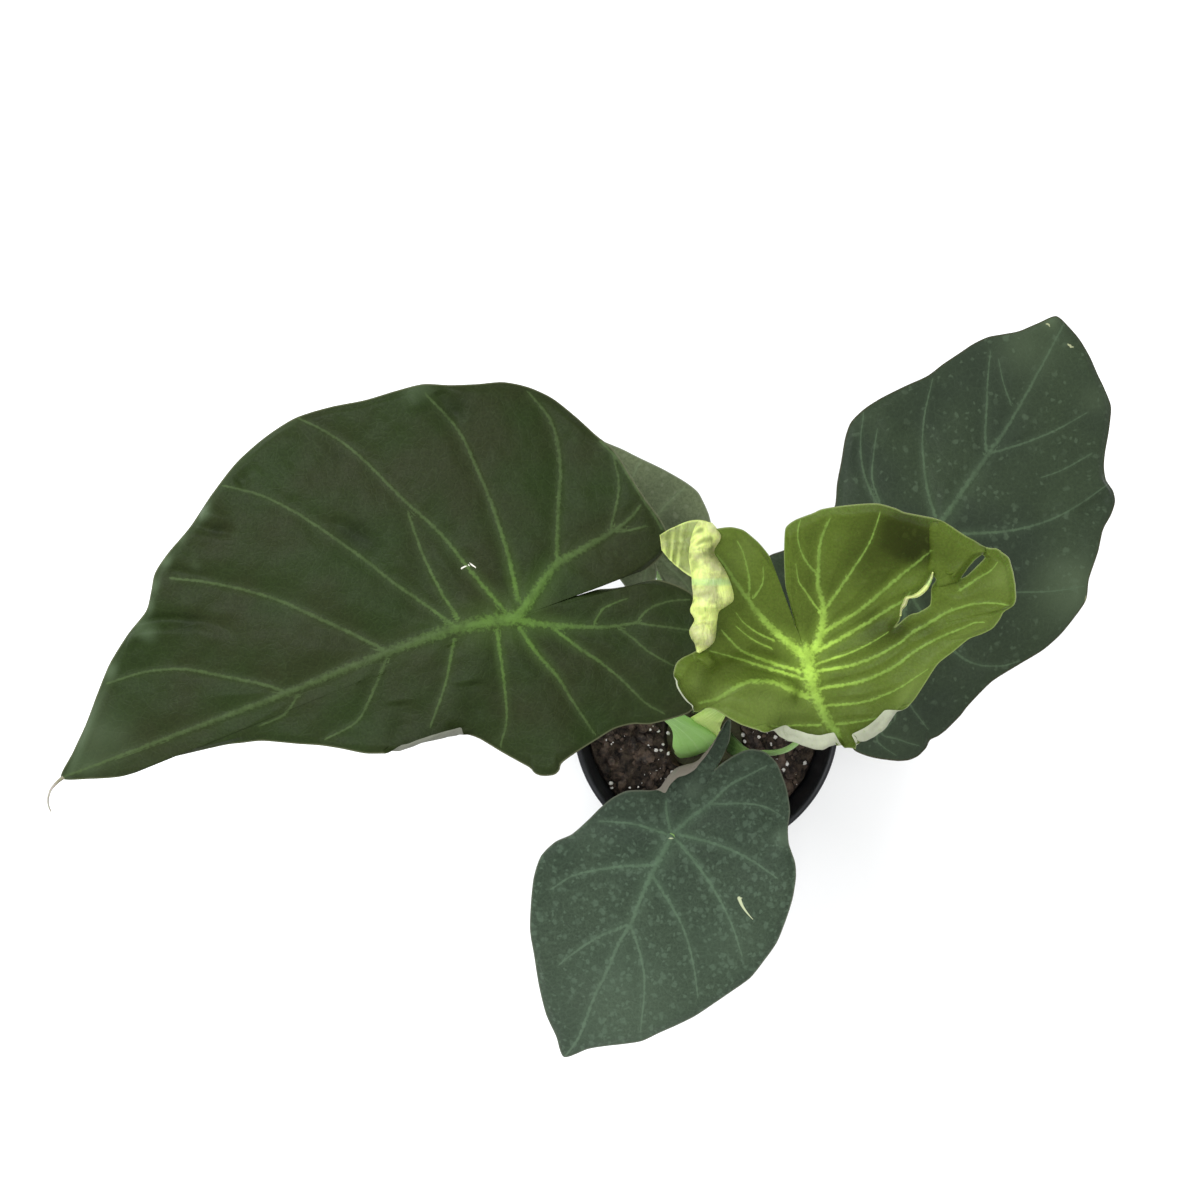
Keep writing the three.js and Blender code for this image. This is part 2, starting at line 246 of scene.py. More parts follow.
@dataclass(frozen=True)
class Eye:
    """The eye over the plant, which looks straight down at the middle pixel of its view."""

    x: float = -65.8
    y: float = 75.7
    z: float = 1145.0
    middle: float = 600.0
    focal: float = 1612.0
    sensor: float = 36.0

    def place(self, spots: Array, height: Array) -> Array:
        """Puts pixels at their heights: a pixel covers (eye height - height) / focal millimetres.

        Args:
            spots: columns and rows of pixels, in the last axis.
            height: height of each above the floor.

        Returns:
            Places in millimetres, in the last axis.
        """
        size = (self.z - height) / self.focal
        return np.stack([self.x + (spots[..., 0] - self.middle) * size,
                         self.y - (spots[..., 1] - self.middle) * size,
                         height + 0 * size], axis=-1)

    def camera(self) -> None:
        """Makes the camera at the eye and hands it to the scene."""
        lens = bpy.data.cameras.new("eye")
        lens.sensor_width = self.sensor
        lens.lens = self.sensor * self.focal / (2 * self.middle)
        lens.clip_start = 0.01
        seat = placed("eye", lens)
        seat.location = (self.x * MM, self.y * MM, self.z * MM)
        bpy.context.scene.camera = seat


EYE = Eye()


# Surfaces and their meshes


@dataclass
class Surface:
    """Triangles in space, with the values at their points and the chart that a material reads."""

    points: Array
    faces: Array
    marks: dict[str, Array] = field(default_factory=dict)
    flat: Array | None = None

    @staticmethod
    def joined(parts: list["Surface"]) -> "Surface":
        """One surface of several. A mark that a part lacks is zero on it.

        Args:
            parts: the surfaces. One without a chart is charted by its X and Y.

        Returns:
            The surface.
        """
        shift = np.cumsum([0] + [len(part.points) for part in parts[:-1]])
        names = sorted({name for part in parts for name in part.marks})
        marks = {name: np.concatenate([part.marks.get(name, np.zeros(len(part.points))) for part in parts])
                 for name in names}
        flat = np.vstack([part.points[:, :2] if part.flat is None else part.flat for part in parts])
        return Surface(np.vstack([part.points for part in parts]),
                       np.vstack([part.faces + n for part, n in zip(parts, shift)]), marks, flat)

    def outward(self) -> "Surface":
        """Turns the faces of the closed surface out, where the sum of its volumes says so.

        Returns:
            The same surface.
        """
        a, b, c = (self.points[self.faces[:, k]] for k in range(3))
        if np.einsum("ij,ij->", a, np.cross(b, c)) < 0:
            self.faces = self.faces[:, ::-1]
        return self

    def tidy(self) -> "Surface":
        """Leaves out the points that no face uses.

        Returns:
            A new surface.
        """
        used, faces = np.unique(self.faces, return_inverse=True)
        marks = {name: values[used] for name, values in self.marks.items()}
        flat = None if self.flat is None else self.flat[used]
        return Surface(self.points[used], faces.reshape(-1, 3), marks, flat)

    def piece(self, name: str, material: Material, slot: str, nodes: tuple[str, ...],
              crease: float = 50.0) -> bpy.types.Object:
        """Makes the object of one piece, which rides on the plant's only body.

        Args:
            name: the piece's name.
            material: its finish.
            slot: the record's slot that the finish comes from. It is not used.
            nodes: solids of the part that it stands for.
            crease: edges that bend by more degrees than this stay sharp.

        Returns:
            The object, at the origin.
        """
        mesh = bpy.data.meshes.new(name)
        mesh.vertices.add(len(self.points))
        mesh.vertices.foreach_set("co", (self.points * MM).astype(np.float32).ravel())
        mesh.loops.add(self.faces.size)
        mesh.loops.foreach_set("vertex_index", self.faces.astype(np.int32).ravel())
        mesh.polygons.add(len(self.faces))
        mesh.polygons.foreach_set("loop_start", np.arange(0, self.faces.size, 3, dtype=np.int32))
        mesh.polygons.foreach_set("use_smooth", np.ones(len(self.faces), dtype=bool))
        mesh.update(calc_edges=True)
        for mark, values in self.marks.items():
            layer = mesh.attributes.new(mark, "FLOAT", "POINT")
            layer.data.foreach_set("value", values.astype(np.float32))
        if self.flat is not None:
            chart = mesh.uv_layers.new(name="chart")
            chart.data.foreach_set("uv", self.flat[self.faces.ravel()].astype(np.float32).ravel())
        mesh.set_sharp_from_angle(angle=math.radians(crease))
        mesh.materials.append(material)
        made = placed(name, mesh)
        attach(made, "root")
        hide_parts(*nodes)
        LOG.info("%s: %d triangles", name, len(self.faces))
        return made


def sheet_faces(rows: int, columns: int, wrap: bool = False) -> Array:
    """Two triangles for each cell of a grid of points.

    Args:
        rows, columns: size of the grid.
        wrap: whether the last column joins the first.

    Returns:
        The triangles.
    """
    across = columns if wrap else columns - 1
    i, j = (part.ravel() for part in np.meshgrid(np.arange(rows - 1), np.arange(across), indexing="ij"))
    k = (j + 1) % columns
    a, b, c, d = i * columns + j, (i + 1) * columns + j, (i + 1) * columns + k, i * columns + k
    return np.concatenate([np.stack([a, b, c], -1), np.stack([a, c, d], -1)])


def closed_faces(rows: int, columns: int) -> Array:
    """Triangles of a grid whose rows run round, closed by a fan from a pole at each end.

    Args:
        rows, columns: size of the grid. The two poles are numbered after its points.

    Returns:
        The triangles.
    """
    j = np.arange(columns)
    k, end, pole = (j + 1) % columns, (rows - 1) * columns, np.full(columns, rows * columns)
    return np.vstack([sheet_faces(rows, columns, wrap=True), np.stack([pole, j, k], -1),
                      np.stack([pole + 1, end + k, end + j], -1)])


def shell(faces: Array, count: int) -> Array:
    """Faces of the closed wall between two sheets that share one set of faces.

    Every border edge of the top sheet, found as an edge that no neighbour runs backwards, gets a strip
    down to the bottom sheet, whose points follow those of the top.

    Args:
        faces: triangles of the top sheet.
        count: how many points a sheet has.

    Returns:
        Triangles over the points of the top and then those of the bottom.
    """
    edges = np.concatenate([faces[:, [0, 1]], faces[:, [1, 2]], faces[:, [2, 0]]])
    lone = ~np.isin(edges[:, 0] * count + edges[:, 1], edges[:, 1] * count + edges[:, 0])
    a, b = edges[lone].T
    walls = np.concatenate([np.stack([b, a, a + count], -1), np.stack([b, a + count, b + count], -1)])
    return np.concatenate([faces, faces[:, ::-1] + count, walls])


def grid_normals(grid: Array) -> Array:
    """Unit normals of a grid of points: the cross product of its two steps."""
    return unit(np.cross(np.gradient(grid, axis=0), np.gradient(grid, axis=1)))


def tube(rings: Array, flat_scale: Pixel = (1.0, 1.0)) -> Surface:
    """Closed skin over a row of rings, with a pole at the middle of each end.

    Args:
        rings: points, by ring and then round the ring.
        flat_scale: size of the chart round the tube and along it.

    Returns:
        The surface, with its chart.
    """
    rows, columns = rings.shape[:2]
    u, v = np.meshgrid(np.arange(columns) / columns, np.linspace(0, 1, rows))
    u = 0.5 - np.abs(u - 0.5)
    flat = np.stack([u.ravel() * flat_scale[0], v.ravel() * flat_scale[1]], -1)
    points = np.vstack([rings.reshape(-1, 3), rings[0].mean(0), rings[-1].mean(0)])
    flat = np.vstack([flat, [0.25 * flat_scale[0], 0], [0.25 * flat_scale[0], flat_scale[1]]])
    return Surface(points, closed_faces(rows, columns), {}, flat).outward()


def walled(sheet: Array, half: float) -> Surface:
    """A thin closed wall: a grid of points, moved along its normals to either side.

    Args:
        sheet: points, by row and column.
        half: half of the wall's thickness.

    Returns:
        The wall, without marks.
    """
    points, normal = sheet.reshape(-1, 3), grid_normals(sheet).reshape(-1, 3)
    faces = shell(sheet_faces(*sheet.shape[:2]), len(points))
    return Surface(np.vstack([points + half * normal, points - half * normal]), faces).outward()


def thin_skin(spots: Array, height: Array, tone: Array) -> Surface:
    """A thin closed piece of leaf skin.

    Args:
        spots: pixels, by row and column.
        height: height of each.
        tone: the mark that lightens and darkens it, mostly painted shade and highlight, of the shape of
            height or one that spreads to it.

    Returns:
        The skin, with marks for the distance to its brink, in cells, and its tone of painted shade and
        highlight.
    """
    made = walled(EYE.place(spots, height), SKIN_HALF)
    rows, columns = height.shape
    u, v = np.meshgrid(np.linspace(0, 1, columns), np.linspace(0, 1, rows))
    brink = np.minimum(np.minimum(u, 1 - u) * columns, np.minimum(v, 1 - v) * rows).ravel()
    made.flat = np.tile(spots.reshape(-1, 2) / (2 * EYE.middle), (2, 1))
    made.marks = {"edge": np.tile(brink, 2), "tone": np.tile((tone + 0 * height).ravel(), 2)}
    return made


# Shader nodes


class Graph:
    """Short calls that place and link the nodes of one tree."""

    def __init__(self, tree: Tree) -> None:
        """Works on the given tree."""
        self.tree = tree

    def node(self, kind: str, inputs: dict | None = None, **settings: object) -> Node:
        """Adds a node.

        Args:
            kind: the node's type, without the ShaderNode that Blender puts before it.
            inputs: a value or a socket for each named or numbered input.
            settings: the node's own settings.

        Returns:
            The node.
        """
        made = self.tree.nodes.new("ShaderNode" + kind)
        for key, value in settings.items():
            setattr(made, key, value)
        for key, value in (inputs or {}).items():
            if isinstance(value, Socket):
                self.tree.links.new(value, made.inputs[key])
            else:
                made.inputs[key].default_value = value
        return made

    def sum(self, operation: str, *values: object) -> Socket:
        """A Math node's result for numbers or sockets."""
        return self.node("Math", dict(enumerate(values)), operation=operation).outputs[0]

    def times(self, first: object, second: object) -> Socket:
        """The product of two numbers or sockets."""
        return self.sum("MULTIPLY", first, second)

    def mix(self, share: object, first: object, second: object) -> Socket:
        """A colour between two, by a share from 0 to 1."""
        return self.node("Mix", {0: share, 6: first, 7: second}, data_type="RGBA").outputs[2]

    def band(self, value: object, low: object, high: float, out: Pixel = (0.0, 1.0)) -> Socket:
        """A number that eases from out's first to its second as value goes from low to high."""
        made = self.node("MapRange", {0: value, 1: low, 2: high, 3: out[0], 4: out[1]},
                         interpolation_type="SMOOTHSTEP")
        return made.outputs[0]

    def mark(self, name: str) -> Socket:
        """A value that the mesh holds at its points."""
        return self.node("Attribute", attribute_name=name).outputs["Fac"]

    def chart(self) -> Socket:
        """The piece's chart, for a pattern that follows its surface."""
        return self.node("UVMap", uv_map="chart").outputs[0]

    def own(self) -> Socket:
        """The piece's own coordinates, in metres."""
        return self.node("TexCoord").outputs["Object"]

    def noise(self, where: Socket, scale: object, detail: float = 3.0, rough: float = 0.5) -> Socket:
        """Noise from 0 to 1."""
        return self.node("TexNoise", {"Vector": where, "Scale": scale, "Detail": detail,
                                      "Roughness": rough}).outputs[0]

    def cells(self, where: Socket, scale: float, feature: str = "DISTANCE_TO_EDGE") -> Socket:
        """Distance to the borders, or to the middles, of irregular cells."""
        made = self.node("TexVoronoi", {"Vector": where, "Scale": scale}, feature=feature)
        return made.outputs[0]

    def stretched(self, where: Socket, by: Point) -> Socket:
        """Coordinates multiplied along each axis, so that a pattern is drawn out."""
        return self.node("Mapping", {"Vector": where, "Scale": by}).outputs[0]

    def group(self, tree: Tree, inputs: dict | None = None) -> Node:
        """Places a shared group."""
        return self.node("Group", inputs, node_tree=tree)


def new_group(name: str, takes: dict[str, float], gives: tuple[str, ...]) -> tuple[Graph, Node]:
    """Starts a shared group of shader nodes.

    Args:
        name: the group's name.
        takes: its number inputs and their usual values.
        gives: its number outputs.

    Returns:
        The graph of the group's tree, and its input node.
    """
    tree = bpy.data.node_groups.new(name, "ShaderNodeTree")
    for label, usual in takes.items():
        tree.interface.new_socket(label, in_out="INPUT", socket_type="NodeSocketFloat").default_value = usual
    for label in gives:
        tree.interface.new_socket(label, in_out="OUTPUT", socket_type="NodeSocketFloat")
    return Graph(tree), tree.nodes.new("NodeGroupInput")


def close_group(graph: Graph, results: dict[str, Socket]) -> Tree:
    """Ends a shared group.

    Args:
        graph: the graph of the group's tree.
        results: the socket that feeds each output.

    Returns:
        The tree.
    """
    ends = graph.tree.nodes.new("NodeGroupOutput")
    for label, socket in results.items():
        graph.tree.links.new(socket, ends.inputs[label])
    return graph.tree


class SharedGroups:
    """Node groups that several finishes use, each built once."""

    @staticmethod
    @cache
    def veins() -> Tree:
        """Masks of the veins, of the soft band beside them and of scars, from the blade's marks.

        Returns:
            The group's tree.
        """
        graph, takes = new_group("leaf veins", {"Halo Reach": 6.0}, ("Vein", "Halo", "Scar"))
        wobble = graph.band(graph.noise(graph.chart(), 330.0, 3.0), 0.3, 0.7, (-0.4, 0.4))
        vein, scar = (graph.sum("MAXIMUM", graph.sum("ABSOLUTE", graph.mark(f"{line}_side")),
                                graph.mark(f"{line}_loose")) for line in ("vein", "scar"))
        return close_group(graph, {"Vein": graph.band(graph.sum("ADD", vein, wobble), 1.45, 0.2),
                                   "Halo": graph.band(graph.mark("vein"), takes.outputs[0], 0.6),
                                   "Scar": graph.band(scar, 1.3, 0.6)})

    @staticmethod
    @cache
    def mottle() -> Tree:
        """Broad clouds, fine speckle, pale flecks and the net of the smallest veins on a blade.

        Returns:
            The group's tree.
        """
        graph, takes = new_group("leaf mottle", {"Fleck Limit": 1.0}, ("Broad", "Fine", "Flecks", "Net"))
        chart = graph.chart()
        wander = graph.node("TexNoise", {"Vector": chart, "Scale": 160.0, "Detail": 2.0})
        bent = graph.node("VectorMath", {0: wander.outputs[1], 1: (0.007, 0.007, 0.0)},
                          operation="MULTIPLY")
        where = graph.node("VectorMath", {0: chart, 1: bent.outputs[0]}, operation="ADD")
        gather = graph.noise(chart, 22.0, 3.0)
        flecks = []
        for scale in (210.0, 120.0):
            cell = graph.node("TexVoronoi", {"Vector": where.outputs[0], "Scale": scale})
            lot = graph.node("SeparateXYZ", {0: cell.outputs["Color"]}).outputs[0]
            level = graph.sum("ADD", lot, graph.times(gather, 0.9))
            flecks.append(graph.times(graph.band(cell.outputs["Distance"], 0.42, 0.2),
                                      graph.band(graph.sum("SUBTRACT", level, takes.outputs[0]), 0.0, 0.4)))
        return close_group(graph, {
            "Broad": graph.band(graph.noise(chart, 14.0, 4.0), 0.3, 0.7),
            "Fine": graph.noise(chart, 420.0, 3.0, 0.7),
            "Flecks": graph.sum("MAXIMUM", *flecks),
            "Net": graph.band(graph.cells(chart, 150.0), 0.12, 0.0)})

    @staticmethod
    @cache
    def grain() -> Tree:
        """Fine and coarse grain for a bump, mixed by Coarseness, read in the piece's own metres.

        Returns:
            The group's tree.
        """
        graph, takes = new_group("grain", {"Scale": 900.0, "Coarseness": 0.5}, ("Height",))
        own = graph.own()
        fine = graph.noise(own, takes.outputs[0], 4.0)
        coarse = graph.noise(own, graph.times(takes.outputs[0], 0.22), 3.0)
        blend = graph.node("Mix", {0: takes.outputs[1], 2: fine, 3: coarse}, data_type="FLOAT")
        return close_group(graph, {"Height": blend.outputs[0]})


def new_material(name: str) -> tuple[Material, Graph, Node]:
    """Starts a material.

    Args:
        name: the material's name.

    Returns:
        The material, its graph and its Principled shader.
    """
    made = bpy.data.materials.new(name)
    made.use_nodes = True
    return made, Graph(made.node_tree), made.node_tree.nodes["Principled BSDF"]


def bump(graph: Graph, shader: Node, height: Socket, depth: float) -> None:
    """Bends the shader's normal by a height, where depth in metres is what a height of one stands for."""
    made = graph.node("Bump", {"Height": height, "Distance": depth, "Strength": 1.0})
    graph.tree.links.new(made.outputs[0], shader.inputs["Normal"])


def dress(graph: Graph, shader: Node, skin: Socket, rough: Socket, gloss: float, glow: float = 0.0,
          depth: float = 0.0015) -> None:
    """Feeds a material's results to its shader.

    Args:
        graph: the material's graph.
        shader: its Principled shader.
        skin: its colour.
        rough: its roughness.
        gloss: how much it mirrors.
        glow: the share of the light that passes under the skin.
        depth: how deep that light goes, in metres.
    """
    graph.tree.links.new(skin, shader.inputs["Base Color"])
    graph.tree.links.new(rough, shader.inputs["Roughness"])
    for label, value in (("Specular IOR Level", gloss), ("Subsurface Weight", glow),
                         ("Subsurface Radius", LEAF_GLOW), ("Subsurface Scale", depth)):
        shader.inputs[label].default_value = value


# Finishes


@dataclass(frozen=True)
class LeafFinish:
    """Skin of a leaf blade: its upper face, its veins, its margin and its duller underside, with painted
    light and shade on the upper face.
    """

    name: str
    blade: Colour
    deep: Colour
    # The light colour also stands for painted sheen and highlight, and the dark one for painted shade, by
    # the tone mark
    light: Colour
    dark: Colour
    core_vein: Colour
    vein: Colour
    margin: Colour
    fleck: Colour
    under: Colour
    under_vein: Colour
    scar: Colour
    vein_strength: float = 0.85
    halo: float = 0.3
    halo_reach: float = 6.0
    fleck_limit: float = 1.1
    fleck_strength: float = 0.3
    net: float = 0.1
    margin_width: float = 2.0
    margin_strength: float = 0.6
    grain: float = 0.35
    rough: float = 0.5
    gloss: float = 0.1
    glow: float = 0.0

    def material(self) -> Material:
        """Mixes the upper colours and the underside by the mark `under`.

        Returns:
            The blade's material.
        """
        made, graph, shader = new_material(self.name)
        veins = graph.group(SharedGroups.veins(), {"Halo Reach": self.halo_reach})
        mottle = graph.group(SharedGroups.mottle(), {"Fleck Limit": self.fleck_limit})
        tone = graph.mark("tone")
        top = graph.mix(mottle.outputs["Broad"], self.blade, self.deep)
        grain = graph.band(mottle.outputs["Fine"], 0.36, 0.66, (0.0, self.grain))
        top = graph.mix(grain, top, self.dark)
        patchy = graph.band(mottle.outputs["Broad"], 0.0, 1.0, (0.65, 1.0))
        # The tone mark lightens and darkens the upper face: partly the leaf's own colour, partly painted
        # sheen, highlight and shade
        top = graph.mix(graph.times(graph.band(tone, 0.0, 1.0), patchy), top, self.light)
        top = graph.mix(graph.band(tone, 0.0, -1.0), top, self.dark)
        core = graph.mark("core")
        ray = graph.mix(core, self.vein, self.core_vein)
        top = graph.mix(graph.times(mottle.outputs["Net"], self.net), top, self.vein)
        halo = graph.times(veins.outputs["Halo"],
                           graph.band(core, 0.0, 1.0, (self.halo, 2.2 * self.halo)))
        top = graph.mix(halo, top, ray)
        top = graph.mix(graph.times(mottle.outputs["Flecks"], self.fleck_strength), top, self.fleck)
        worn_vein = graph.noise(graph.chart(), 90.0, 3.0, 0.6)
        strength = graph.band(worn_vein, 0.3, 0.65, (0.55 * self.vein_strength, self.vein_strength))
        top = graph.mix(graph.times(veins.outputs["Vein"], strength), top, ray)
        top = graph.mix(veins.outputs["Scar"], top, self.scar)
        rim = graph.band(graph.mark("edge"), self.margin_width, 0.3 * self.margin_width,
                         (0.0, self.margin_strength))
        top = graph.mix(rim, top, self.margin)
        below = graph.mix(graph.times(mottle.outputs["Broad"], 0.2), self.under, self.deep)
        below = graph.mix(graph.times(mottle.outputs["Flecks"], 0.2), below, self.fleck)
        below = graph.mix(graph.times(veins.outputs["Vein"], 0.8), below, self.under_vein)
        skin = graph.mix(graph.mark("under"), top, below)
        worn = graph.band(mottle.outputs["Fine"], 0.2, 0.8, (self.rough - 0.05, self.rough + 0.08))
        worn = graph.sum("ADD", graph.times(graph.mark("under"), 0.15), worn)
        dress(graph, shader, skin, worn, self.gloss, self.glow)
        height = graph.sum("ADD", graph.times(mottle.outputs["Fine"], 0.5),
                           graph.times(mottle.outputs["Net"], -0.3))
        bump(graph, shader, height, 0.0002)
        return made


@dataclass(frozen=True)
class StalkFinish:
    """Skin of a petiole: it goes from the colour of its foot to that of its head, with fine streaks, and
    painted shade in the hollow of its sheath.
    """

    name: str
    foot: Colour
    head: Colour
    streak: Colour
    shade: Colour
    change: Pixel = (0.12, 0.55)
    rough: float = 0.42

    def material(self) -> Material:
        """Mixes the colours by the chart, which runs round the stalk and along it.

        Returns:
            The stalk's material.
        """
        made, graph, shader = new_material(self.name)
        chart = graph.chart()
        along = graph.node("SeparateXYZ", {0: chart}).outputs[1]
        lines = graph.noise(graph.stretched(chart, (34.0, 1.6, 1.0)), 1.0, 4.0, 0.6)
        freckles = graph.noise(graph.own(), 420.0, 3.0, 0.6)
        skin = graph.mix(graph.band(along, *self.change), self.foot, self.head)
        skin = graph.mix(graph.band(lines, 0.52, 0.7, (0.0, 0.55)), skin, self.streak)
        skin = graph.mix(graph.band(lines, 0.45, 0.3, (0.0, 0.4)), skin, self.shade)
        skin = graph.mix(graph.band(freckles, 0.55, 0.75, (0.0, 0.25)), skin, self.shade)
        # Painted shade in the hollow of the sheath, where the petiole marks it
        skin = graph.mix(graph.mark("hollow"), skin, self.shade)
        worn = graph.band(freckles, 0.2, 0.8, (self.rough - 0.06, self.rough + 0.1))
        dress(graph, shader, skin, worn, 0.35, 0.15, 0.002)
        bump(graph, shader, lines, 0.0005)
        return made


@dataclass(frozen=True)
class CrumbFinish:
    """Matt crumbly stuff: potting mix, bark chips, perlite grains and dry scales."""

    name: str
    light: Colour
    dark: Colour
    spot: Colour
    scale: float
    rough: float
    depth: float
    spots: float = 0.3
    wet: float = 0.2

    def material(self) -> Material:
        """Clouds of two colours with crumbs of a third, and a deep grain.

        Returns:
            The material.
        """
        made, graph, shader = new_material(self.name)
        own = graph.own()
        clouds = graph.noise(own, self.scale, 5.0, 0.65)
        crumbs = graph.cells(own, self.scale * 3.1, "F1")
        skin = graph.mix(graph.band(clouds, 0.35, 0.65), self.dark, self.light)
        skin = graph.mix(graph.band(crumbs, 0.35, 0.1, (0.0, self.spots)), skin, self.spot)
        grain = graph.group(SharedGroups.grain(), {"Scale": 6 * self.scale, "Coarseness": 0.5})
        worn = graph.band(grain.outputs[0], 0.3, 0.7, (self.rough - self.wet, self.rough))
        dress(graph, shader, skin, worn, 0.3)
        bump(graph, shader, grain.outputs[0], self.depth)
        return made


@dataclass(frozen=True)
class PlasticFinish:
    """Thin black moulded plastic with a satin skin, fine scuffs and a little dust."""

    name: str
    body: Colour
    scuff: Colour
    dust: Colour
    rough: float = 0.42

    def material(self) -> Material:
        """Scuffs run round the pot, and dust lies in patches.

        Returns:
            The pot's material.
        """
        made, graph, shader = new_material(self.name)
        own = graph.own()
        rings = graph.noise(graph.stretched(own, (12.0, 12.0, 900.0)), 1.0, 4.0, 0.6)
        patches = graph.noise(own, 22.0, 5.0, 0.6)
        specks = graph.noise(own, 900.0, 2.0, 0.5)
        skin = graph.mix(graph.band(rings, 0.5, 0.75, (0.0, 0.35)), self.body, self.scuff)
        dusty = graph.times(graph.band(patches, 0.5, 0.75), graph.band(specks, 0.45, 0.65, (0.15, 0.5)))
        skin = graph.mix(dusty, skin, self.dust)
        worn = graph.band(patches, 0.3, 0.75, (self.rough - 0.06, self.rough + 0.2))
        dress(graph, shader, skin, worn, 0.3)
        grain = graph.group(SharedGroups.grain(), {"Scale": 1400.0, "Coarseness": 0.35})
        bump(graph, shader, grain.outputs[0], 0.00012)
        return made


# Leaves


@dataclass(frozen=True)
class Vein:
    """A vein, with its width in pixels at its start and its end."""

    wide: float
    narrow: float
    path: Trail


@dataclass(frozen=True)
class Curl:
    """A stretch of margin, from one pixel of the outline to another, that curls up and over.

    The radius and the eases at the two ends are pixels, and sweep is the degrees that the sheet turns.
    """

    start: Pixel
    end: Pixel
    radius: float
    sweep: float
    eases: Pixel = (14.0, 14.0)


@dataclass(frozen=True)
class Form:
    """How the blade lies: what it falls towards its tip, its back and its sides, and its waves."""

    tip_fall: float
    back_fall: float
    side_fall: float
    waves: float
    wave_height: float
    wave_phase: float
    pucker: float = 1.6
    pucker_reach: float = 13.0
    ripple: float = 0.5
    crumple: float = 0.25


@dataclass(frozen=True)
class Fold:
    """A soft ridge, or with a negative height a valley, along a trail. It fades at its ends."""

    height: float
    reach: float
    path: Trail


@dataclass(frozen=True)
class Patch:
    """A part of the blade inside a polygon that is raised a little and differs in tone, partly its own
    colour and partly painted sheen and shade.
    """

    tone: float
    lift: float
    feather: float
    corners: Trail


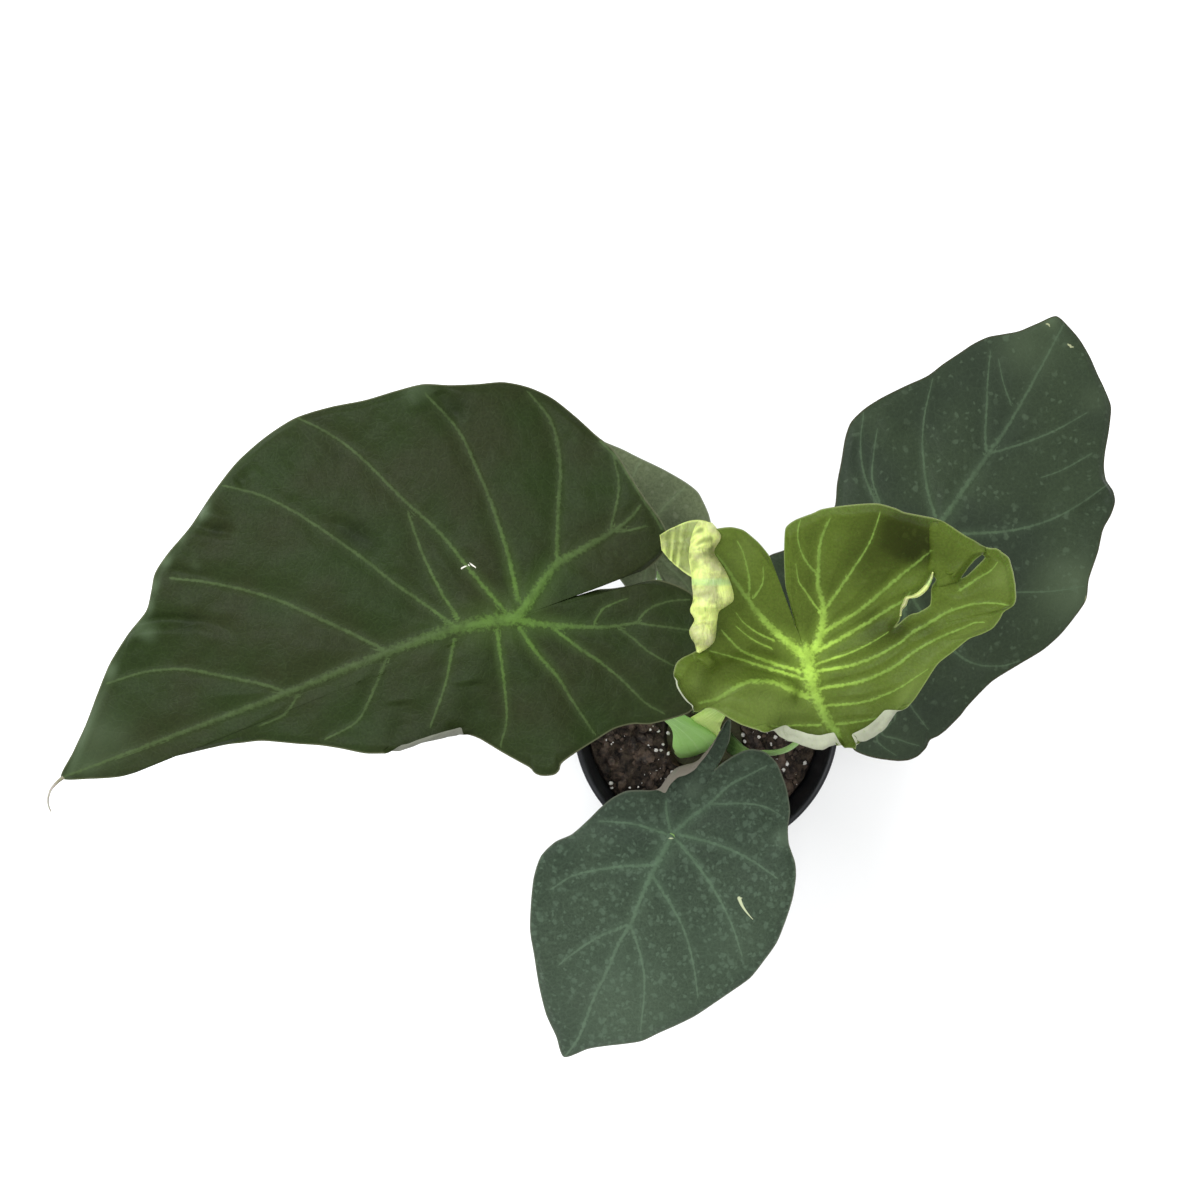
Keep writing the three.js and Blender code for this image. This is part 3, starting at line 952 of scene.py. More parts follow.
@dataclass
class Blade:
    """The blade of one leaf, worked out on nested square rings from its junction to its margin.

    A spot of light and tone is a column, a row, a reach in pixels and a tone, partly the leaf's own colour
    and partly painted sheen, highlight and shade. A tear is the trail of its border.
    """

    node: str
    slot: str
    junction: Pixel
    tip: Pixel
    height: float
    outline: Trail
    form: Form
    veins: tuple[Vein, ...]
    curls: tuple[Curl, ...] = ()
    folds: tuple[Fold, ...] = ()
    patches: tuple[Patch, ...] = ()
    light_and_tone_spots: tuple[tuple[float, float, float, float], ...] = ()
    scars: tuple[Vein, ...] = ()
    tears: tuple[Trail, ...] = ()
    core_reach: float = 90.0
    half: int = 90
    thickness: float = 0.5
    seed: int = 1

    def rise(self, spots: Array, reach: Array, angle: Array) -> Array:
        """Height above the junction.

        It falls by tip_fall times the share of the axis to the power 1.7, by back_fall behind the
        junction to the power 1.5 and by side_fall beside the axis to the power 1.6, and it waves with
        the cube of the reach.

        Args:
            spots: pixels.
            reach: share of the way from the junction to the margin.
            angle: direction of the spoke.

        Returns:
            Heights in millimetres.
        """
        form = self.form
        axis = np.subtract(self.tip, self.junction)
        long = (axis**2).sum()
        out = spots - self.junction
        along = (out @ axis) / long
        beside = (out[:, 0] * axis[1] - out[:, 1] * axis[0]) / long
        fall = np.where(along > 0, form.tip_fall * np.abs(along) ** 1.7,
                        form.back_fall * np.abs(along) ** 1.5)
        wave = form.wave_height * reach**3 * np.sin(form.waves * angle + form.wave_phase)
        return wave - fall - form.side_fall * np.abs(beside) ** 1.6

    def curled(self, share: Array, margin: Array) -> tuple[Array, Array]:
        """How the margin curls. A curl is eased in and out at its ends, where its radius shrinks.

        Args:
            share: shares of the way round the margin.
            margin: pixels of the margin, one row each.

        Returns:
            The radius and the sweep of the curl at each share.
        """
        radius, sweep = np.full(len(share), 10.0), np.zeros(len(share))
        total = lengths(margin)[-1]
        for curl in self.curls:
            ends = [np.hypot(*(margin - np.array(spot)).T).argmin() for spot in (curl.start, curl.end)]
            low, high = (lengths(margin)[k] / total for k in ends)
            rise, fall = (ease / total for ease in curl.eases)
            gate = smooth(share, low - rise, low + rise) * (1 - smooth(share, high - fall, high + fall))
            sweep = np.maximum(sweep, math.radians(curl.sweep) * gate)
            radius = np.where(gate > 0.001, curl.radius * (0.45 + 0.55 * gate), radius)
        return radius, sweep

    def relief(self, spots: Array, valley: Array, rib: Array) -> Array:
        """Low relief: the blade swells between veins, and each vein is a rib in a valley.

        The swell is pucker times one less the depth of the valley, and three octaves of value noise
        ripple it.

        Args:
            spots: pixels of the blade laid flat.
            valley: depth of the valley round the veins.
            rib: height of the ribs.

        Returns:
            Millimetres along the normal.
        """
        form = self.form
        swell = form.pucker * (1 - valley)
        ripple = sum(form.ripple * share * cloud(spots[:, 0], spots[:, 1], cell, self.seed + k)
                     for k, (share, cell) in enumerate(((1.6, 46), (0.8, 21), (0.35, 9))))
        folds = np.zeros(len(spots))
        for fold in self.folds:
            away, _, along, _ = nearest(spots, spline(pixels(fold.path), False, 6))
            gate = smooth(along, -0.02, 0.15) * smooth(1 - along, 0, 0.4)
            folds += fold.height * gate * np.exp(-((away / fold.reach) ** 2))
        return swell + 0.12 * rib + ripple + folds

    def vein_marks(self, spots: Array, veins: tuple[Vein, ...]) -> tuple[Array, ...]:
        """Where each spot lies among the veins.

        The sign of the side is kept only where a cell of the grid is wide beside the vein, because
        there the vein is where the sign changes from one point to the next.

        Args:
            spots: pixels of the grid.
            veins: the veins.

        Returns:
            The distance to the nearest vein in half widths, the same with its sign, the same less what
            a cell may skip, the depth of the valley round the veins and the height of the ribs.
        """
        near, side, loose = (np.full(len(spots), FAR) for _ in range(3))
        valley, rib = np.zeros(len(spots)), np.zeros(len(spots))
        count = 2 * self.half + 1
        steps = [np.gradient(spots.reshape(count, count, 2), axis=k).reshape(-1, 2) for k in (0, 1)]
        for vein in veins:
            path = pixels(vein.path)
            low, high = path.min(0) - VEIN_SPAN, path.max(0) + VEIN_SPAN
            close = np.nonzero(((spots > low) & (spots < high)).all(axis=1))[0]
            if len(close) == 0:
                continue
            away, signed, along, heading = nearest(spots[close], spline(path, False, 4))
            across = vein.wide + (vein.narrow - vein.wide) * along
            half = 0.5 * across
            cell = np.max([np.abs(step[close, 0] * heading[:, 1] - step[close, 1] * heading[:, 0])
                           for step in steps], axis=0)
            signed = np.where(cell > 0.9 * half, signed, away)
            nearer = away / half < near[close]
            near[close] = np.where(nearer, away / half, near[close])
            side[close] = np.where(nearer, np.clip(signed / half, -FAR, FAR), side[close])
            skipped = np.minimum(0.8 * cell / half, 1.8)
            loose[close] = np.where(nearer, away / half - skipped, loose[close])
            dip = smooth(across, 0.8, 3.4) * np.exp(-((away / self.form.pucker_reach) ** 2))
            valley[close] = np.maximum(valley[close], dip)
            rib[close] = np.maximum(rib[close], across * np.exp(-((away / (half + 0.6)) ** 2)))
        return near, side, loose, valley, rib

    def grid(self) -> tuple[Array, Array, Array]:
        """Nested square rings, whose cells are split along the diagonal that points away from the middle.

        Returns:
            The reach of each point, which is the larger of its two steps from the middle, its turn,
            which is the share of the way round the square, and the triangles.
        """
        half, side = self.half, 2 * self.half + 1
        a, b = np.meshgrid(np.arange(-half, half + 1), np.arange(-half, half + 1), indexing="ij")
        ring = np.maximum(np.abs(a), np.abs(b))
        walk = np.select([a == ring, b == ring, a == -ring], [b + ring, 3 * ring - a, 5 * ring - b],
                         7 * ring + a)
        turn = walk / np.maximum(8 * ring, 1)
        steps = np.arange(side - 1)
        i, j = (part.ravel() for part in np.meshgrid(steps, steps, indexing="ij"))
        p, q, r, s = i * side + j, (i + 1) * side + j, (i + 1) * side + j + 1, i * side + j + 1
        even = ((i < half) == (j < half))[:, None]
        first = np.where(even, np.stack([p, q, r], -1), np.stack([q, r, s], -1))
        second = np.where(even, np.stack([p, r, s], -1), np.stack([q, s, p], -1))
        return (ring / half).ravel(), turn.ravel(), np.concatenate([first, second])

    def light_and_tone(self, spots: Array) -> tuple[Array, Array]:
        """Adds up the spots of light and tone, which fade with the square of the distance, and the patches.

        Args:
            spots: pixels of the blade.

        Returns:
            The tone and the lift of each. The tone is partly the leaf's own colour and partly painted
            sheen, highlight and shade.
        """
        tone, lift = np.zeros(len(spots)), np.zeros(len(spots))
        for x, y, size, value in self.light_and_tone_spots:
            tone += value * np.exp(-(((spots[:, 0] - x) ** 2 + (spots[:, 1] - y) ** 2) / size**2))
        for patch in self.patches:
            corners = pixels(patch.corners)
            border = nearest(spots, np.vstack([corners, corners[:1]]))[0]
            depth = np.where(inside(spots, corners), border, -border)
            share = smooth(depth, -patch.feather, patch.feather)
            tone += patch.tone * share
            lift += patch.lift * share
        return tone, lift

    def surface(self) -> Surface:
        """The closed blade.

        A point's spoke runs from the junction to the margin. Where the margin curls, the spoke leaves
        the blade on a circle: past its start it goes radius times the sine of the turn outwards and
        radius times one less the cosine upwards. The two faces stand off the middle sheet along its
        normals.

        Returns:
            The blade with its marks.
        """
        reach, turn, faces = self.grid()
        margin = spline(pixels(self.outline), True, 16, 0.4)
        ends = spaced(margin, turn)
        spoke = ends - self.junction
        far = np.maximum(np.hypot(spoke[:, 0], spoke[:, 1]), 1e-6)
        course = spoke / far[:, None]
        ahead = spaced(margin, (turn + 0.0015) % 1) - spaced(margin, (turn - 0.0015) % 1)
        ahead /= np.maximum(np.hypot(ahead[:, 0], ahead[:, 1]), 1e-6)[:, None]
        square = np.maximum(np.abs(course[:, 0] * ahead[:, 1] - course[:, 1] * ahead[:, 0]), 0.3)
        radius, sweep = self.curled(turn, margin)
        start = far - radius * np.sin(np.minimum(sweep, math.pi / 2))
        extra = start + radius * sweep - far
        run = reach * far + extra * np.clip((reach - 0.5) / 0.5, 0, 1) ** 2
        bend = np.clip((run - start) / radius, 0, None)
        out = np.where(bend > 0, start + radius * np.sin(bend), run)
        up = radius * (1 - np.cos(bend))
        spots = self.junction + course * out[:, None]
        rolled = self.junction + course * run[:, None]
        edge = (start + radius * sweep - run) * square
        for tear in self.tears:
            spots, rolled, faces, edge = self.torn(spots, rolled, faces, edge, pixels(tear))
        near, side, loose, valley, rib = self.vein_marks(rolled, self.veins)
        scar_side, scar_loose = self.vein_marks(rolled, self.scars)[1:3]
        # The tone mark: the leaf's own lighter and darker colour, with painted sheen, highlight and shade
        tone, lift = self.light_and_tone(spots)
        angle = np.arctan2(spoke[:, 1], spoke[:, 0])
        height = self.height + self.rise(spots, np.minimum(run / far, 1), angle)
        height += up * (EYE.z - height) / EYE.focal + lift
        sheet = EYE.place(spots, height)
        count = 2 * self.half + 1
        normal = grid_normals(sheet.reshape(count, count, 3)).reshape(-1, 3)
        normal *= np.sign(normal[reach < 0.3].mean(0)[2])
        normal[(bend < 0.3) & (normal[:, 2] < 0)] *= -1
        upright = (1 - smooth(square, 0.35, 0.75)) * (1 - smooth(bend, 0.1, 0.5))
        normal[:, :2] *= (1 - upright)[:, None]
        normal /= np.linalg.norm(normal, axis=1, keepdims=True)
        fade = smooth(edge, -1, 9)[:, None]
        crumple = self.form.crumple * smooth(bend, 0.4, 1.4) * cloud(
            rolled[:, 0], rolled[:, 1], 8, self.seed + 7)
        shape = (self.relief(rolled, valley, rib) * fade[:, 0] + crumple)[:, None]
        thick = 0.5 * self.thickness * (0.35 + 0.65 * fade)
        top = sheet + normal * (shape + thick)
        bottom = sheet + normal * (shape - 0.28 * rib[:, None] * fade - thick)
        faces = shell(faces, len(top))
        core = np.exp(-((run / self.core_reach) ** 2))
        marks = {"vein": near, "vein_side": side, "vein_loose": loose, "scar_side": scar_side,
                 "scar_loose": scar_loose, "edge": edge, "tone": np.clip(tone, -1, 1), "core": core}
        marks = {name: np.tile(values, 2) for name, values in marks.items()}
        marks["under"] = np.repeat([0.0, 1.0], len(top))
        flat = np.tile(rolled / (2 * EYE.middle), (2, 1))
        return Surface(np.vstack([top, bottom]), faces, marks, flat).tidy().outward()

    def torn(self, spots: Array, rolled: Array, faces: Array, edge: Array,
             border: Array) -> tuple[Array, Array, Array, Array]:
        """Takes a tear out of the sheet.

        Faces with a point in it go, and the points of those faces that are outside it move to its
        border.

        Args:
            spots: pixels of the points.
            rolled: the same on the blade laid flat.
            faces: triangles of the sheet.
            edge: distance of each point to the margin.
            border: pixels of the tear's border, one row each.

        Returns:
            The first four arguments without the tear.
        """
        ring = np.vstack([border, border[:1]])
        within = inside(spots, border)
        gone = within[faces].any(axis=1)
        loose = np.zeros(len(spots), bool)
        loose[faces[gone].ravel()] = True
        loose &= ~within
        line = spline(ring, False, 5, 0.3)
        place = np.hypot(*(spots[loose][:, None] - line[None]).transpose(2, 0, 1)).argmin(axis=1)
        spots, rolled = spots.copy(), rolled.copy()
        spots[loose] = rolled[loose] = line[place]
        edge = np.minimum(edge, nearest(spots, ring)[0])
        return spots, rolled, faces[~gone], edge


@dataclass
class Petiole:
    """A leaf's stalk: oval sections along a path, with a sheath at the foot that opens inwards."""

    node: str
    slot: str
    path: tuple[Point, ...]
    outward: Pixel
    sheath_wide: float
    sheath_thick: float
    wrap: float
    sheath_length: float
    radius: float
    hollow: float = 0.0
    # How dark the painted shade in the sheath's hollow is
    shade: float = 0.5
    steps: int = 110
    sides: int = 40
    seed: int = 3

    def surface(self) -> Surface:
        """The closed stalk.

        A section is an ellipse with its broad axis across the path. Down the sheath it widens, its
        horns bend inwards by wrap times the square of the cosine, and its inner face is pushed in.

        Returns:
            The stalk, with a mark for the painted shade in the hollow of the sheath.
        """
        line = spline(np.array(self.path, float), False, 40, 0.5)
        share = np.linspace(0, 1, self.steps)
        middle = spaced(line, share)
        ahead = np.gradient(middle, axis=0)
        ahead[0] = (0, 0, 1)
        ahead = unit(ahead)
        away = np.array([*self.outward, 0.0]) / math.hypot(*self.outward)
        side = unit(np.cross(ahead, away))
        back = np.cross(side, ahead)
        opening = 1 - smooth(share, 0.1, self.sheath_length + 0.1)
        slim = self.radius * (1 - 0.25 * share)
        wide = slim + (self.sheath_wide / 2 - slim) * opening
        thick = slim + (self.sheath_thick / 2 - slim) * opening
        round_ = around(self.sides)
        cos, sin = np.cos(round_)[None], np.sin(round_)[None]
        ribs = 1 + 0.018 * np.sin(9 * round_)[None] + 0.03 * cloud(
            share[:, None] * 260 + 0 * cos, cos * 9 + 20, 7, self.seed)
        inner = np.where(sin < 0, 1 - self.hollow * opening[:, None] * np.abs(sin) ** 0.5, 1)
        across = wide[:, None] * cos * ribs
        depth = thick[:, None] * sin * inner * ribs - self.wrap * opening[:, None] * cos**2
        rings = middle[:, None] + across[..., None] * side[:, None] + depth[..., None] * back[:, None]
        made = tube(rings)
        # Painted shade on the inner face of the sheath, darkest at its foot
        hollow_shade = self.shade * opening[:, None] * np.where(sin < 0, np.abs(sin) ** 2, 0) * (1 - smooth(
            share, 0.0, 0.5))[:, None]
        made.marks["hollow"] = np.concatenate([hollow_shade.ravel(), [0, 0]])
        return made


@dataclass
class RolledMargin:
    """The pale left margin of the youngest leaf, rolled up into a crumpled tube with a flap at its head."""

    left: Trail
    right: Trail
    base: tuple[float, ...]
    rise: float
    flap_top: Trail
    flap_foot: Trail
    flap_heights: Pixel
    rows: int = 150
    columns: int = 70

    def tube(self) -> Surface:
        """The roll: sections of a sheet that starts under the roll, goes out and over and ends on top.

        Along a section the angle goes from below through the left to a little above the right, on an
        ellipse between the two outlines, whose radius swells and shrinks with value noise.

        Returns:
            The roll.
        """
        share = np.linspace(0, 1, self.rows)
        left, right = (spaced(spline(pixels(trail), False), share) for trail in (self.left, self.right))
        base = np.interp(share, np.linspace(0, 1, len(self.base)), self.base)
        turn = -math.pi / 2 - np.linspace(0, math.radians(262), self.columns)[None]
        middle, half = (left + right) / 2, (right - left) / 2
        folds = cloud(share[:, None] * 150 + 12 * turn, turn * 7, 13, 5)
        creases = 1 - 2 * np.abs(cloud(share[:, None] * 150 - 9 * turn, turn * 9, 8, 6))
        crumple = 0.09 * folds + 0.05 * creases
        swell = 1 + crumple * np.sin(np.clip(-turn - math.pi / 2, 0, math.pi)) ** 0.3
        close = np.clip(np.hypot(half[:, 0], half[:, 1]) / 13, 0.25, 1.25)
        spots = middle[:, None] + half[:, None] * (np.cos(turn) * (0.5 + 0.5 * swell))[..., None]
        height = (base + self.rise * close)[:, None] + (self.rise * close)[:, None] * np.sin(turn) * (
            2 * swell - 1)
        # Its tone follows the folds and creases: painted highlight on their crests and painted shade in
        # their hollows
        return thin_skin(spots, height, 0.7 * folds + 0.4 * creases)

    def flap(self) -> Surface:
        """The flap: a pleated sheet between its upper and lower edge, which slopes down outwards.

        Returns:
            The flap.
        """
        share = np.linspace(0, 1, 90)
        brinks = (self.flap_top, self.flap_foot)
        top, foot = (spaced(spline(pixels(trail), False), share) for trail in brinks)
        down = np.linspace(0, 1, 44)[None]
        spots = top[:, None] * (1 - down[..., None]) + foot[:, None] * down[..., None]
        pleats = np.sin(share * 27 + 1.6 * np.sin(share * 9))[:, None] * (0.4 + 0.6 * down)
        height = between(self.flap_heights, share[:, None] ** 1.5) - 4 * down**1.5 + 0.55 * pleats
        height = height + 1.2 * cloud(spots[..., 0], spots[..., 1], 9, 8)
        # Its tone darkens the whole flap, partly its own duller colour and partly painted shade, with
        # painted shade and highlight on the pleats
        return thin_skin(spots, height, 0.45 * pleats - 1.05 + 0.3 * share[:, None])

    def surface(self) -> Surface:
        """The roll and its flap."""
        return Surface.joined([self.tube(), self.flap()])


@dataclass(frozen=True)
class RollFinish:
    """Underside of the young blade where it shows on the roll: pale yellow green with grey blotches, and
    painted shade and highlight on its folds.
    """

    name: str
    pale: Colour
    grey: Colour
    shade_olive: Colour
    painted_highlight: Colour
    mint: Colour
    mint_rows: Pixel

    def material(self) -> Material:
        """Blotches, painted shade in the creases, painted shade and highlight by the tone mark, and the mint
        vein that crosses the roll between two rows of pixels.

        Returns:
            The roll's material.
        """
        made, graph, shader = new_material(self.name)
        chart = graph.chart()
        clouds = graph.noise(chart, 46.0, 4.0, 0.6)
        creases = graph.noise(graph.stretched(chart, (1.0, 0.35, 1.0)), 190.0, 3.0, 0.6)
        row = graph.node("SeparateXYZ", {0: chart}).outputs[1]
        tone = graph.mark("tone")
        skin = graph.mix(graph.band(clouds, 0.42, 0.62), self.pale, self.grey)
        # Painted shade and painted highlight by the tone mark, then painted shade along the crease lines
        skin = graph.mix(graph.band(tone, 0.1, -1.0, (0.0, 0.8)), skin, self.shade_olive)
        skin = graph.mix(graph.band(tone, 0.2, 1.0, (0.0, 0.5)), skin, self.painted_highlight)
        skin = graph.mix(graph.band(creases, 0.52, 0.72, (0.0, 0.5)), skin, self.shade_olive)
        low, high = (row_ / (2 * EYE.middle) for row_ in self.mint_rows)
        middle, half = (low + high) / 2, (high - low) / 2
        off = graph.sum("ABSOLUTE", graph.sum("SUBTRACT", row, middle))
        skin = graph.mix(graph.band(off, half, 0.3 * half, (0.0, 0.5)), skin, self.mint)
        skin = graph.mix(graph.band(graph.mark("edge"), 2.5, 0.5, (0.0, 0.5)), skin, self.pale)
        dress(graph, shader, skin, graph.band(creases, 0.2, 0.8, (0.42, 0.6)), 0.35, 0.2)
        bump(graph, shader, creases, 0.0012)
        return made


# Soil, crown and pot


def solid_grains(spots: Array, sizes: Array, seed: int, squash: Point, rows: int = 4,
                 sides: int = 6) -> Surface:
    """Many small lumpy grains in one surface.

    A grain is a globe of a few rows whose points go in and out at random, scaled by squash and turned
    at random.

    Args:
        spots: middle of each grain.
        sizes: radius of each.
        seed: picks the random numbers.
        squash: scale along the grain's own axes.
        rows, sides: how finely a grain is divided.

    Returns:
        The grains.
    """
    random = np.random.default_rng(seed)
    count = len(spots)
    tilt = np.linspace(0, math.pi, rows + 2)[1:-1]
    spin = around(sides)
    ball = np.stack([np.sin(tilt)[:, None] * np.cos(spin), np.sin(tilt)[:, None] * np.sin(spin),
                     np.cos(tilt)[:, None] + 0 * spin], -1).reshape(-1, 3)
    ball = np.vstack([ball, [0, 0, 1], [0, 0, -1]])
    lumps = ball[None] * random.uniform(0.72, 1.2, (count, len(ball), 1)) * np.array(squash)
    turn = np.linalg.qr(random.normal(size=(count, 3, 3)))[0]
    tip = np.linalg.qr(np.eye(3) + 0.25 * random.normal(size=(count, 3, 3)))[0]
    about = random.uniform(0, FULL_TURN, count)
    c, s = np.cos(about), np.sin(about)
    flat_turn = np.stack([c, -s, 0 * c, s, c, 0 * c, 0 * c, 0 * c, 1 + 0 * c], -1).reshape(-1, 3, 3)
    turn = turn if min(squash) > 0.6 else flat_turn @ tip
    lumps = np.einsum("nij,npj->npi", turn, lumps) * sizes[:, None, None] + spots[:, None]
    one = closed_faces(rows, sides)
    mirrored = np.linalg.det(turn) < 0
    fix = np.where(mirrored[:, None, None], one[None, :, ::-1], one[None])
    faces = (fix + (np.arange(count) * len(ball))[:, None, None]).reshape(-1, 3)
    return Surface(lumps.reshape(-1, 3), faces).outward()


@dataclass
class PottingMix:
    """The potting mix: a lumpy surface in the pot, with bark chips and perlite grains on it."""

    top: float = 120.0
    bottom: float = 2.5
    rim: float = 74.6
    foot: float = 57.0
    pitch: float = 26.0
    relief: float = 1.8
    crown_x: float = 1.0
    crown_y: float = -11.0
    crown_radius: float = 24.8
    rings: int = 110
    spokes: int = 320
    perlite: Trail = (
        611, 783, 743, 735, 775, 737, 787, 764, 656, 750, 612, 787, 805, 763, 783, 769, 744.5, 741,
        751.5, 732, 758.6, 737, 658, 731, 668, 733, 650, 729, 649, 744, 661, 750, 668, 753, 657, 771,
        672, 772, 663, 744, 660, 778, 606, 740, 632, 724)

    def surface_height(self, x: Array, y: Array) -> Array:
        """Height of the mix: two crossed waves, as on the solid, and four octaves of value noise.

        Args:
            x, y: places in millimetres.

        Returns:
            Heights.
        """
        k = FULL_TURN / self.pitch
        wide = np.sin(0.41 * k * x + 1.3) * np.sin(0.47 * k * y + 0.4)
        fine = np.sin(k * (0.8 * x + 0.5 * y)) * np.sin(k * (0.9 * y - 0.3 * x) + 2)
        lumps = sum(size * np.abs(cloud(x + 90, y + 90, cell, 40 + n))
                    for n, (size, cell) in enumerate(((3.0, 9.5), (2.6, 5.4), (1.4, 2.7), (0.6, 1.3))))
        return self.top + 0.5 * self.relief * (wide + fine) + lumps - 2.7

    def body(self) -> Surface:
        """The mix itself: a disc of rings, its tapered side and its flat underside.

        Returns:
            The mix.
        """
        angle = around(self.spokes)
        reach = np.linspace(0.004, 1, self.rings) * (self.rim - 1.4)
        x, y = reach[:, None] * np.cos(angle), reach[:, None] * np.sin(angle)
        top = np.stack([x, y, self.surface_height(x, y)], -1)
        hole = smooth(np.hypot(x - self.crown_x, y - self.crown_y), self.crown_radius - 2,
                      self.crown_radius + 2)
        top[..., 2] = top[..., 2] * hole + (self.top - 6) * (1 - hole)
        low = ((self.rim, self.top - 4), (self.foot + 0.3, self.bottom + 1), (self.foot, self.bottom))
        side = [np.stack([r * np.cos(angle), r * np.sin(angle), z + 0 * angle], -1) for r, z in low]
        return tube(np.concatenate([top, np.stack(side)]))

    def scatter(self, count: int, seed: int, small: float, large: float) -> tuple[Array, Array]:
        """Strews grains on the mix, clear of the crown and the pot's wall.

        Args:
            count: the most grains.
            seed: picks the random numbers.
            small, large: the smallest and the largest radius.

        Returns:
            The middle of each grain and its radius.
        """
        random = np.random.default_rng(seed)
        angle = random.uniform(0, FULL_TURN, 4 * count)
        reach = (self.rim - 2.5) * np.sqrt(random.uniform(0, 1, 4 * count))
        x, y = reach * np.cos(angle), reach * np.sin(angle)
        clear = np.hypot(x - self.crown_x, y - self.crown_y) > self.crown_radius + 2
        x, y = x[clear][:count], y[clear][:count]
        sizes = small + (large - small) * random.uniform(0, 1, len(x)) ** 2
        sizes = np.minimum(sizes, np.maximum(self.rim - np.hypot(x, y), small))
        return np.stack([x, y, self.surface_height(x, y)], -1), sizes

    def build(self) -> None:
        """Makes the mix, the chips and the grains."""
        mix = CrumbFinish("potting_mix", paint(88, 74, 62), paint(30, 25, 22), paint(122, 104, 86),
                          scale=190.0, rough=0.9, depth=0.0016, spots=0.25, wet=0.3).material()
        chip = CrumbFinish("bark_chip", paint(118, 99, 85), paint(44, 35, 31), paint(150, 128, 108),
                           scale=120.0, rough=0.8, depth=0.0012, spots=0.3, wet=0.4).material()
        white = CrumbFinish("perlite_grain", (0.92, 0.9, 0.86, 1), (0.78, 0.75, 0.7, 1),
                            paint(200, 190, 170), scale=500.0, rough=0.95, depth=0.0004, spots=0.2,
                            wet=0.1).material()
        self.body().piece("potting_mix", mix, "potting_mix", ("soil",))
        spots, sizes = self.scatter(count=430, seed=21, small=1.8, large=6.2)
        solid_grains(spots + [0, 0, 0.3], sizes, 22, (1.0, 0.66, 0.42), 4, 7).piece(
            "bark_chips", chip, "potting_mix", ("soil",), 35.0)
        spots, sizes = self.scatter(count=190, seed=31, small=0.3, large=0.95)
        seen = EYE.place(pixels(self.perlite), np.full(len(self.perlite) // 2, self.top))
        seen[:, 2] = self.surface_height(seen[:, 0], seen[:, 1])
        spots, sizes = np.vstack([spots, seen]), np.append(sizes, np.linspace(1.6, 1.1, len(seen)))
        solid_grains(spots + [0, 0, 0.9], sizes, 32, (1.0, 0.85, 0.8)).piece(
            "perlite_grains", white, "potting_mix", ("soil",), 60.0)


@dataclass
class Crown:
    """The short thick stem in the mix, ringed with leaf scars and wrapped in dry scales."""

    x: float = 1.0
    y: float = -11.0
    radius: float = 24.5
    top: float = 118.0
    neck: float = 100.0
    bottom: float = 68.0
    tip_radius: float = 9.0
    sides: int = 90

    def stem(self) -> Surface:
        """The stem: a turned profile with low rings, and a flat top that value noise roughens.

        Returns:
            The stem.
        """
        low = spaced(np.array([(self.tip_radius, self.bottom), (self.radius - 4, self.neck - 12),
                               (self.radius, self.neck), (self.radius, self.top - 2)], float),
                     np.linspace(0, 1, 46))
        low[:, 0] += 0.35 * np.sin((low[:, 1] - self.bottom) * 1.4)
        reach = (self.radius - 0.4) * np.linspace(1, 0.03, 26) ** 0.9
        cap = np.column_stack([reach, np.full(26, self.top - 1.2)])
        profile = np.vstack([low, cap])
        angle = around(self.sides)
        x, y = profile[:, :1] * np.cos(angle), profile[:, :1] * np.sin(angle)
        z = profile[:, 1:] + 0.8 * cloud(x + 50, y + 50, 6, 51) * (profile[:, 1:] > self.top - 2)
        return tube(np.stack([x + self.x, y + self.y, z], -1), (3.0, 1.0))

    def scale(self, facing: float, width: float, length: float, seed: int) -> Surface:
        """A dry papery scale: a pointed leaf of skin that leans on the stem and curls out at its tip.

        Args:
            facing: degrees from +X to the side that it stands on.
            width: half of the angle that it spans, in radians.
            length: its height.
            seed: picks its crumples.

        Returns:
            The scale.
        """
        u = np.linspace(-1, 1, 25)[None]
        v = np.linspace(0, 1, 31)[:, None]
        turn = math.radians(facing) + u * width * np.sqrt(np.clip(1 - v**2.2, 0.02, 1))
        reach = self.radius - 1.5 + 1.2 * v + 2.5 * v**3 + 0.5 * cloud(u * 20 + 30, v * 20 + 30, 5, seed)
        z = self.top - 3 + length * v + 0.8 * cloud(u * 20 + 60, v * 9, 4, seed)
        sheet = np.stack([self.x + reach * np.cos(turn), self.y + reach * np.sin(turn), z + 0 * turn], -1)
        return walled(sheet, 0.2)

    def build(self) -> None:
        """Makes the stem and its scales."""
        skin = StalkFinish("crown_skin", paint(72, 72, 48), paint(84, 84, 54), paint(108, 104, 70),
                           paint(46, 38, 26), rough=0.7).material()
        papery = CrumbFinish("dry_scale", paint(84, 66, 48), paint(52, 40, 30), paint(110, 90, 66),
                             scale=160.0, rough=0.8, depth=0.0008, spots=0.3, wet=0.2).material()
        self.stem().piece("crown_stem", skin, "crown_skin", ("crown",))
        sizes = ((215, 0.4, 8), (262, 0.32, 6.5), (318, 0.42, 7.5), (20, 0.3, 7), (75, 0.35, 8),
                 (140, 0.38, 7))
        scales = [self.scale(*size, 60 + n) for n, size in enumerate(sizes)]
        Surface.joined(scales).piece("crown_scales", papery, "crown_skin", ("crown",))


